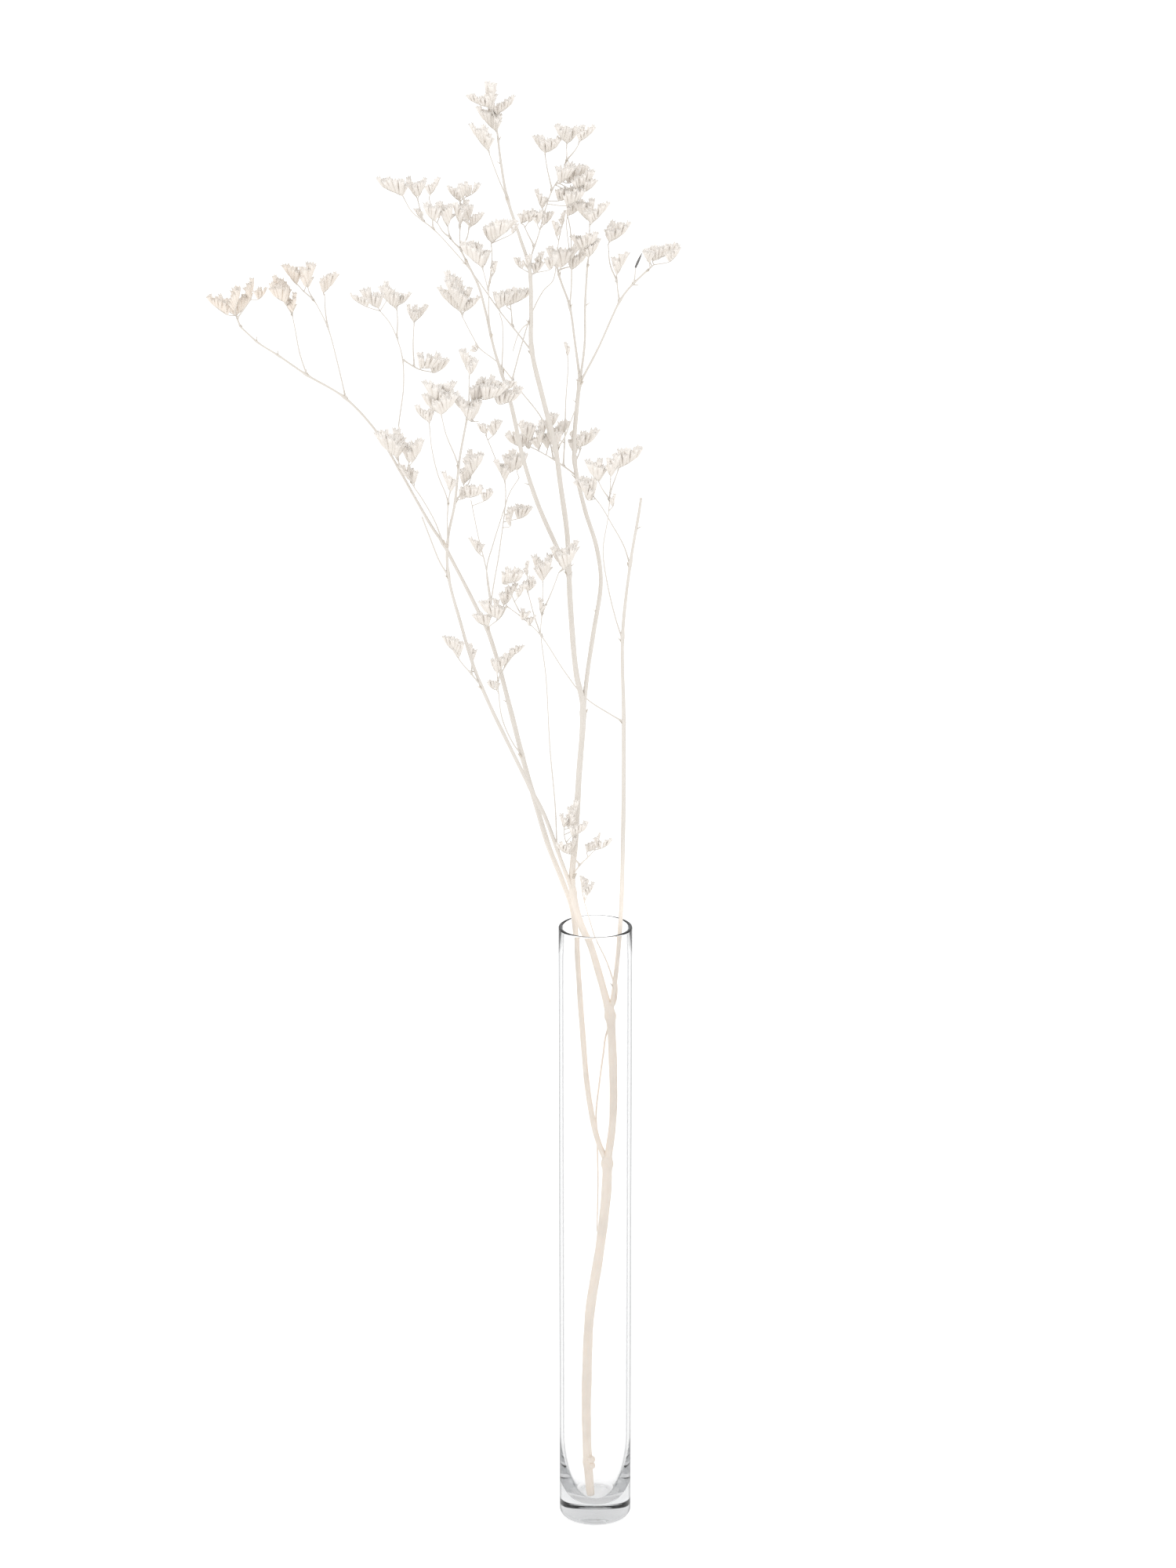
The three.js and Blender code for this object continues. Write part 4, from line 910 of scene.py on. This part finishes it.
def spikelets(roots, directions, sides, lengths, random):
    """Papery funnels: rings about each root's direction that widen from a narrow foot over a
    sheath to a rim with teeth, then turn back in to a small cup. A ring lies at its height plus
    its teeth's depth * cos(TOOTH_COUNT * angle), and its middle moves aside with the height
    squared."""
    copies = len(roots)
    across = unit(sides - directions * (sides * directions).sum(-1, keepdims=True))
    onward = np.cross(directions, across)
    angle = np.linspace(0, 2 * np.pi, SPIKELET_SIDES, endpoint=False)
    turn = random.uniform(0, 2 * np.pi, copies)
    flare = random.uniform(*FLARE_SPREAD, copies)
    tooth = np.cos(TOOTH_COUNT * angle) * random.uniform(*TOOTH_SPREAD, copies)[:, None]
    height = SPIKELET_HEIGHTS[None, :, None] + SPIKELET_TEETH[None, :, None] * tooth[:, None, :]
    widen = 1 + SPIKELET_FLARES * (flare[:, None] - 1)
    toothed = 1 + TOOTH_FLARE * tooth[:, None, :] * SPIKELET_FLARES[:, None]
    radius = (SPIKELET_RADII * widen)[:, :, None] * toothed
    bend = random.normal(0, BEND_SPREAD, (copies, 2))
    spun = angle[None, None, :] + turn[:, None, None]
    sideways = radius * np.cos(spun) + bend[:, :1, None] * height**2
    forward = radius * np.sin(spun) + bend[:, 1:, None] * height**2
    ring = (
        height[..., None] * directions[:, None, None]
        + sideways[..., None] * across[:, None, None]
        + forward[..., None] * onward[:, None, None]
    )
    places = roots[:, None, None] + ring * lengths[:, None, None, None]
    tone = random.uniform(0, 1, copies)
    pattern = np.stack(
        [
            np.broadcast_to(np.cos(spun), height.shape),
            np.broadcast_to(np.sin(spun), height.shape),
            height,
            np.broadcast_to(tone[:, None, None], height.shape),
        ],
        axis=-1,
    )
    rings = np.concatenate([places, pattern], axis=-1)
    first = rings[:, 0].mean(axis=1)
    last = rings[:, -1].mean(axis=1)
    cup = directions * SPIKELET_CUP + across * bend[:, :1] * SPIKELET_CUP**2
    last[:, :3] = roots + (cup + onward * bend[:, 1:] * SPIKELET_CUP**2) * lengths[:, None]
    last[:, 5] = SPIKELET_CUP
    return closed_shells(rings, first, last)


def put(name, shells, material, slot, *nodes):
    """Joins shells into one mesh, with their pattern and tone, as a piece for the nodes."""
    tables, quads, fans, start = [], [], [], 0
    for table, shell_quads, shell_fans in shells:
        tables.append(table)
        quads.append(shell_quads + start)
        fans.append(shell_fans + start)
        start += len(table)
    table = np.concatenate(tables)
    faces = np.concatenate(quads).tolist() + np.concatenate(fans).tolist()
    mesh = bpy.data.meshes.new(name)
    mesh.from_pydata(table[:, :3].tolist(), [], faces)
    pattern = mesh.attributes.new("pattern", "FLOAT_VECTOR", "POINT")
    pattern.data.foreach_set("vector", np.ascontiguousarray(table[:, 3:6], np.float32).ravel())
    tone = mesh.attributes.new("tone", "FLOAT", "POINT")
    tone.data.foreach_set("value", np.ascontiguousarray(table[:, 6], np.float32))
    mesh.shade_smooth()
    mesh.materials.append(material)
    piece = bpy.data.objects.new(name, mesh)
    bpy.context.scene.collection.objects.link(piece)
    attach(piece, "root")
    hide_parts(*nodes)


# ---------------------------------------------------------------- the branch
def swing(x, z):
    """A number from -1 to 1 that depends only on the place."""
    return np.sin(SWING_RATES[0] * x + SWING_RATES[1] * z)


def fork_scales(lines, random):
    """A scale below the foot of each line that grows from another, on the side it leaves."""
    rows = []
    for line in lines:
        if "parent" not in line:
            continue
        parent, spot = line["parent"]
        stem = frames(parent["at"])[0][spot]
        ahead = line["at"][min(FORK_REACH, len(line["at"]) - 1)] - line["at"][0]
        outward = unit(ahead - stem * np.dot(ahead, stem))
        radius = parent["radius"][spot]
        seat = outward * radius * FORK_SCALE_SEAT - stem * FORK_SCALE_DROP
        length = FORK_SCALE_LENGTH[0] + FORK_SCALE_LENGTH[1] * radius
        length *= random.uniform(*FORK_SCALE_SPREAD)
        width = FORK_SCALE_WIDTH[0] + FORK_SCALE_WIDTH[1] * radius
        direction = stem + outward * FORK_SCALE_LEAN
        rows.append((parent["at"][spot] + seat, direction, outward, length, width))
    return [scales(rows)] if rows else []


def bracts(stems):
    """The single pointed bracts on the stems, in the shape of scales."""
    rows = []
    for name, x, z, side in BRACTS:
        line, spot = nearest([stems[name]], x, z)
        tangent, across, _ = frames(line["at"])
        outward = across[spot] * np.sign(across[spot][0]) * side
        base = line["at"][spot] + outward * line["radius"][spot] * BRACT_SEAT
        direction = tangent[spot] + outward * BRACT_LEAN
        rows.append((base, direction, outward, BRACT_LENGTH, BRACT_WIDTH))
    return scales(rows)


def withered_bract(line):
    """The one dark, rolled bract, from the end of its twig to its tip."""
    base = line["at"][-1]
    ahead = placed(np.array(WITHERED_TIP)) - base
    return scales([(base, ahead, -DEPTHWARD, np.linalg.norm(ahead), BRACT_WIDTH)], WITHERED_TONE)


def knob():
    """Two round lobes on the trunk, where a side shoot was cut off: rings of a ball."""
    rows = np.linspace(0, np.pi, KNOB_RINGS)[1:-1]
    angle = np.linspace(0, 2 * np.pi, STEM_SIDES, endpoint=False)
    centres = placed(np.array(KNOB_LOBES, float)[:, :3])
    radii = np.array(KNOB_LOBES)[:, 3, None, None] * MM
    rings = np.zeros((len(centres), len(rows), len(angle), COLUMNS))
    rings[..., 0] = centres[:, 0, None, None] + radii * np.sin(rows)[:, None] * np.cos(angle)
    rings[..., 1] = centres[:, 1, None, None] + radii * np.sin(rows)[:, None] * np.sin(angle)
    rings[..., 2] = centres[:, 2, None, None] - radii * np.cos(rows)[:, None]
    rings[..., 3] = np.cos(angle)
    rings[..., 4] = np.sin(angle)
    rings[..., 6] = KNOB_TONE
    first = rings[:, 0].mean(axis=1)
    first[:, 2] = centres[:, 2] - radii[:, 0, 0]
    last = rings[:, -1].mean(axis=1)
    last[:, 2] = centres[:, 2] + radii[:, 0, 0]
    return closed_shells(rings, first, last)


def comb(numbers, order, twigs, random):
    """A flower stalk with its spikelets. The stalk leaves the nearest twig below its foot and
    bends from there to its end. The spikelets stand close together in two rows on its upper
    side, and their direction runs evenly from outwards and up to the stalk's own and up."""
    foot_x, foot_z, end_x, end_z, length = numbers
    twig, spot = nearest(twigs, foot_x, foot_z - COMB_ROOT_DROP)
    root_depth = twig["front"][spot][2]
    turn = 1 if order % 2 == 0 else -1
    foot_depth = root_depth + turn * FOOT_OFFSET + COMB_SWING * swing(foot_x, foot_z)
    end_depth = root_depth + turn * END_OFFSET + COMB_SWING * swing(end_x, end_z)
    foot = placed(np.array([foot_x, foot_z, foot_depth]))
    end = placed(np.array([end_x, end_z, end_depth]))
    along = unit(end - foot)
    outward = unit(np.cross(DEPTHWARD, along))
    outward = outward if outward[2] > 0 else -outward
    side = np.cross(along, outward)

    root = twig["at"][spot]
    bow = (foot + end) / 2 - outward * STALK_BOW
    points = resampled(smooth(np.array([root, foot, bow, end])), STALK_STEP)
    spans = travelled(points)
    stalk = {"at": points, "along": spans, "sprouts": []}
    stalk["radius"] = np.interp(spans, [0, spans[-1]], STALK_WIDTH) * MM / 2

    spacings = int(round(np.linalg.norm(end - foot) / SPIKELET_SPACING))
    count = max(FEWEST_SPIKELETS, spacings + EXTRA_SPIKELETS)
    shift = random.uniform(-SPACING_SPREAD, SPACING_SPREAD, count)
    share = np.clip((np.arange(count) + shift) / (count - 1), 0, 1)
    first = unit(outward * FOOT_LEAN + UP)
    last = unit(along * END_LEAN + UP)
    splay = ROW_SPLAY[np.arange(count) % len(ROW_SPLAY)]
    splay = splay + random.normal(0, SPLAY_SPREAD, count)
    direction = unit(first + (last - first) * share[:, None])
    direction = unit(direction + along * random.normal(0, LEAN_SPREAD, count)[:, None])
    direction = direction * np.cos(splay)[:, None] + side * np.sin(splay)[:, None]
    roots = foot + (end - foot) * share[:, None]
    lengths = length * MM * random.uniform(*LENGTH_SPREAD, count)
    sides = np.broadcast_to(side, direction.shape)
    return tube(stalk, STALK_SIDES, random), spikelets(roots, unit(direction), sides, lengths, random)


def grow_stems():
    """The lines of the woody stems and fine twigs, each on the stem that carries it."""
    lines = {}
    for name, stem in (STEMS | FINE_TWIGS).items():
        if "on" in stem:
            lines[name] = grown_line(stem["path"], stem["width"], STEM_STEP, [lines[stem["on"]]])
        else:
            lines[name] = line_of(stem["path"], stem["width"], STEM_STEP)
    for name, x, z, width in KNOTS:
        line, spot = nearest([lines[name]], x, z)
        line["sprouts"].append((line["along"][spot], width * MM / 2))
    return lines


def grow_spray(name, spray, stems, twig_material, floret_material, random):
    """One spray: its twigs with their scales, and its flower stalks with their spikelets."""
    lines = []
    for path in spray["twigs"]:
        parents = lines if lines else [stems[spray["on"]]]
        lines.append(grown_line(path, TWIG_WIDTH, TWIG_STEP, parents))
    twigs, florets = [], []
    for order, numbers in enumerate(spray["combs"]):
        stalk, heads = comb(numbers, order, lines, random)
        twigs.append(stalk)
        florets.append(heads)
    twigs += [tube(line, TWIG_SIDES, random) for line in lines]
    twigs += fork_scales(lines, random)
    short = name.removeprefix("spray_")
    put(short + "_twigs", twigs, twig_material, "stem", name)
    put(short + "_florets", florets, floret_material, "floret", name)


def grow_branch(stem_material, floret_material):
    """The whole branch. The sprays grow first, so that the stems swell where they leave."""
    random = np.random.default_rng(SEED)
    stems = grow_stems()
    for name, spray in SPRAYS.items():
        grow_spray(name, spray, stems, stem_material, floret_material, random)
    lines = list(stems.values())
    shells = [tube(line, STEM_SIDES, random, RIB_DEPTH) for line in lines]
    upper = [line for line in lines if line["at"][0, 2] > FORK_SCALES_FROM]
    shells += fork_scales(upper, random)
    shells += [bracts(stems), withered_bract(stems["bract_twig"]), knob()]
    put("stems", shells, stem_material, "stem", "main_stem")


# ---------------------------------------------------------------- the vase
def arc(centre_r, centre_z, radius, start, end, steps=ROUNDING_STEPS):
    """Points on a circle's arc in the vase's profile, from one angle to another in degrees."""
    angle = np.radians(np.linspace(start, end, steps + 1))
    return np.column_stack([centre_r + radius * np.cos(angle), centre_z + radius * np.sin(angle)])


def turn_vase(material):
    """A profile turned about the z axis and closed at both middles. It leaves the underside's
    middle as a quarter of a cosine wave, and runs over the round foot, the wall and the rim and
    down the bore and a quarter ellipse to the flat middle of the floor."""
    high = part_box("vase")[1]
    radius, height = high[1], high[2]  # the solid has corners on the y axis, none on the x axis
    bore = radius - WALL
    under = np.linspace(MIDDLE_SHARE, 1, PUNT_STEPS)[:-1] * (radius - FOOT_ROUNDING)
    punt = np.column_stack([under, PUNT_DEPTH * np.cos(under / under[-1] * np.pi / 2)])
    rising = np.linspace(*WALL_SPAN, WALL_STEPS) * height
    falling = np.linspace(WALL_SPAN[1] * height, BOWL_TOP + BOWL_CLEARANCE, WALL_STEPS)
    wall = np.column_stack([np.full(WALL_STEPS, radius), rising])
    inner = np.column_stack([np.full(WALL_STEPS, bore), falling])
    turn = np.linspace(0, np.pi / 2, BOWL_STEPS + 1)
    flat_r = np.linspace(1, MIDDLE_SHARE, FLAT_STEPS)[1:] * BOWL_FLAT
    depth = BOWL_TOP - FLOOR_THICKNESS
    bowl_r = BOWL_FLAT + (bore - BOWL_FLAT) * np.cos(turn)
    bowl = np.column_stack([bowl_r, BOWL_TOP - depth * np.sin(turn)])
    profile = np.vstack(
        [
            punt,
            arc(radius - FOOT_ROUNDING, FOOT_ROUNDING, FOOT_ROUNDING, -90, 0),
            wall,
            arc(radius - RIM_ROUNDING, height - RIM_ROUNDING, RIM_ROUNDING, 0, 90),
            arc(bore + RIM_ROUNDING, height - RIM_ROUNDING, RIM_ROUNDING, 90, 180),
            inner,
            bowl,
            np.column_stack([flat_r, np.full(len(flat_r), FLOOR_THICKNESS)]),
        ]
    )
    angle = np.linspace(0, 2 * np.pi, VASE_SEGMENTS, endpoint=False)
    rings = np.zeros((1, len(profile), VASE_SEGMENTS, COLUMNS))
    rings[0, :, :, 0] = profile[:, :1] * np.cos(angle)
    rings[0, :, :, 1] = profile[:, :1] * np.sin(angle)
    rings[0, :, :, 2] = profile[:, 1:]
    first = np.zeros((1, COLUMNS))
    first[0, 2] = PUNT_DEPTH
    last = np.zeros((1, COLUMNS))
    last[0, 2] = FLOOR_THICKNESS
    put("clear_glass_vase", [closed_shells(rings, first, last)], material, "glass", "vase")


# ---------------------------------------------------------------- finishes
class Shader:
    """A material's node tree. add() puts in a node whose inputs are constants or sockets,
    spread() gives 0 to 1 between two ends, and mixed() blends two colours by a share."""

    def __init__(self, name):
        self.material = bpy.data.materials.new(name)
        self.material.use_nodes = True
        self.tree = self.material.node_tree
        self.surface = self.tree.nodes["Principled BSDF"]

    def join(self, node, inputs):
        for key, value in inputs.items():
            if isinstance(value, bpy.types.NodeSocket):
                self.tree.links.new(value, node.inputs[key])
            else:
                node.inputs[key].default_value = value

    def add(self, kind, inputs, output=0, **settings):
        node = self.tree.nodes.new("ShaderNode" + kind)
        for key, value in settings.items():
            setattr(node, key, value)
        self.join(node, inputs)
        return node.outputs[output]

    def attribute(self, name, output):
        return self.add("Attribute", {}, output, attribute_name=name)

    def noise(self, vector, settings):
        scale, detail = settings
        return self.add("TexNoise", {"Vector": vector, "Scale": scale, "Detail": detail})

    def spread(self, value, ends):
        low, high = ends
        return self.add("MapRange", {"Value": value, "From Min": low, "From Max": high})

    def times(self, value, factor):
        return self.add("Math", {0: value, 1: factor}, operation="MULTIPLY")

    def mixed(self, share, first, second):
        inputs = {0: share, 6: first, 7: second}
        return self.add("Mix", inputs, 2, data_type="RGBA")

    def bump(self, height, settings):
        strength, distance = settings
        return self.add("Bump", {"Height": height, "Strength": strength, "Distance": distance})


def bleached_stem():
    """Bleached wood: cream with long fibres and dull patches, warm in the vase and painted brighter
    there as painted light against the glass's shade, darker on the scales and nearly black on the withered
    bract."""
    shader = Shader("bleached_stem")
    pattern = shader.attribute("pattern", "Vector")
    tone = shader.attribute("tone", "Fac")
    place = shader.add("TexCoord", {}, "Object")
    fibres = shader.spread(shader.noise(pattern, FIBRE_NOISE), FIBRE_RANGE)
    patches = shader.spread(shader.noise(place, DULL_NOISE), DULL_RANGE)
    height = shader.add("SeparateXYZ", {"Vector": place}, "Z")
    cream = shader.mixed(fibres, STEM_SHADE, STEM_CREAM)
    # warm wood for the vase, painted brighter against the shade that the glass casts on it
    warm = shader.mixed(fibres, FOOT_DARK_FIBRE_PAINTED_BRIGHT, FOOT_CREAM_PAINTED_BRIGHT)
    wood = shader.mixed(shader.spread(height, WARM_AND_PAINTED_BRIGHT_HEIGHTS), cream, warm)
    wood = shader.mixed(shader.times(patches, DULL_SHARE), wood, STEM_DULL)
    wood = shader.mixed(shader.spread(tone, SCALE_TONES), wood, STEM_SCALE)
    wood = shader.mixed(shader.spread(tone, WITHERED_TONES), wood, STEM_WITHERED)
    bump = shader.bump(fibres, STEM_BUMP)
    inputs = {"Base Color": wood, "Roughness": STEM_ROUGHNESS, "Normal": bump}
    shader.join(shader.surface, inputs)
    return shader.material


def dried_floret():
    """Papery florets: darker at the foot and pale at the rim, where the pale colour is also painted
    light that lifts the shade inside the cups, each with a tone of its own and a few of them withered,
    and warmer on the sprays at the far left."""
    shader = Shader("dried_floret")
    pattern = shader.attribute("pattern", "Vector")
    tone = shader.attribute("tone", "Fac")
    height = shader.add("SeparateXYZ", {"Vector": pattern}, "Z")
    body = shader.mixed(shader.spread(tone, BODY_TONES), FLORET_PALE, FLORET_TAN)
    paper = shader.mixed(shader.spread(height, BODY_HEIGHTS), FLORET_FOOT, body)
    # pale rim: partly the paper's own colour, partly painted light over the shaded insides of the cups
    paper = shader.mixed(shader.spread(height, RIM_AND_PAINTED_LIGHT_HEIGHTS), paper, FLORET_PALE_RIM_PAINTED_LIGHT)
    paper = shader.mixed(shader.spread(tone, GREY_TONES), paper, FLORET_WITHERED)
    place = shader.add("TexCoord", {}, "Object")
    leftward = shader.add("SeparateXYZ", {"Vector": place}, "X")
    warmth = shader.times(shader.spread(leftward, WARM_REACH), WARM_SHARE)
    paper = shader.mixed(warmth, paper, FLORET_WARM)
    bump = shader.bump(shader.noise(pattern, VEIN_NOISE), FLORET_BUMP)
    inputs = {"Base Color": paper, "Roughness": FLORET_ROUGHNESS, "Normal": bump}
    shader.join(shader.surface, inputs)
    return shader.material


def clear_glass():
    """Clear glass, grey in its thickness, with painted shade darkening it where its surface is seen
    edge on, in place of the dark reflections along its outlines.
    """
    shader = Shader("clear_glass")
    facing = shader.add("LayerWeight", {"Blend": PAINTED_EDGE_BLEND}, "Facing")
    # painted dark edges in the glass's colour, in place of reflected dark outlines
    edge = shader.mixed(shader.spread(facing, PAINTED_EDGE_FACING), WHITE, PAINTED_EDGE_SHADE)
    settings = {"Base Color": edge, "Roughness": 0.0, "IOR": GLASS_IOR, "Transmission Weight": 1.0}
    shader.join(shader.surface, settings)
    body = shader.add("VolumeAbsorption", {"Color": GLASS_TINT, "Density": GLASS_DENSITY})
    shader.join(shader.tree.nodes["Material Output"], {"Volume": body})
    return shader.material


# ---------------------------------------------------------------- the stage
def dimmed_in_glass(tree, strength, closure):
    """A white closure that falls to GLASS_SEES of its strength in reflections, so that the
    glass has dark edges on a white ground."""
    path = tree.nodes.new("ShaderNodeLightPath")
    deep = tree.nodes.new("ShaderNodeMapRange")
    tree.links.new(path.outputs["Glossy Depth"], deep.inputs["Value"])
    deep.inputs["To Min"].default_value = strength
    deep.inputs["To Max"].default_value = strength * GLASS_SEES
    node = tree.nodes.new(closure)
    node.inputs["Color"].default_value = WHITE
    tree.links.new(deep.outputs["Result"], node.inputs["Strength"])
    return node.outputs[0]


def pale_floor():
    """A wide pale floor that scatters light and glows, so that it stays even and white."""
    mesh = bpy.data.meshes.new("floor")
    half = FLOOR_HALF
    corners = [(-half, -half), (half, -half), (half, half), (-half, half)]
    mesh.from_pydata([(x, y, FLOOR_Z) for x, y in corners], [], [(0, 1, 2, 3)])
    floor = bpy.data.objects.new("floor", mesh)
    bpy.context.scene.collection.objects.link(floor)
    shader = Shader("white_floor")
    inputs = {"Base Color": FLOOR_COLOUR, "Roughness": 1.0, "Specular IOR Level": 0.0}
    shader.join(shader.surface, inputs)
    glow = dimmed_in_glass(shader.tree, FLOOR_GLOW, "ShaderNodeEmission")
    both = shader.add("AddShader", {0: shader.surface.outputs[0], 1: glow})
    shader.join(shader.tree.nodes["Material Output"], {"Surface": both})
    mesh.materials.append(shader.material)


def white_world():
    """A bright, even sky."""
    world = bpy.data.worlds.new("white_world")
    world.use_nodes = True
    tree = world.node_tree
    sky = dimmed_in_glass(tree, SKY_STRENGTH, "ShaderNodeBackground")
    tree.links.new(sky, tree.nodes["World Output"].inputs["Surface"])
    bpy.context.scene.world = world


def area_light(name, place, target, size, watts):
    """A square soft light that faces its target."""
    light = bpy.data.lights.new(name, "AREA")
    light.size = size
    light.energy = watts
    lamp = bpy.data.objects.new(name, light)
    bpy.context.scene.collection.objects.link(lamp)
    lamp.location = place
    facing = Vector(target) - Vector(place)
    lamp.rotation_euler = facing.to_track_quat("-Z", "Y").to_euler()


def set_camera():
    """The camera before the vase, a little above the branch and tilted down."""
    camera = bpy.data.objects.new("camera", bpy.data.cameras.new("camera"))
    bpy.context.scene.collection.objects.link(camera)
    camera.location = EYE * MM
    camera.rotation_euler = (np.pi / 2 - CAMERA_PITCH, 0, 0)
    camera.data.lens = CAMERA_LENS
    camera.data.sensor_width = CAMERA_SENSOR
    bpy.context.scene.camera = camera


# ---------------------------------------------------------------- the scene
grow_branch(bleached_stem(), dried_floret())
turn_vase(clear_glass())
pale_floor()
white_world()
area_light("key", KEY_PLACE, KEY_TARGET, KEY_SIZE, KEY_WATTS)
set_camera()
bpy.context.scene.view_settings.view_transform = "Standard"
bpy.context.scene.cycles.max_bounces = GLASS_BOUNCES
bpy.context.scene.cycles.glossy_bounces = GLASS_BOUNCES
bpy.context.scene.cycles.transmission_bounces = GLASS_BOUNCES
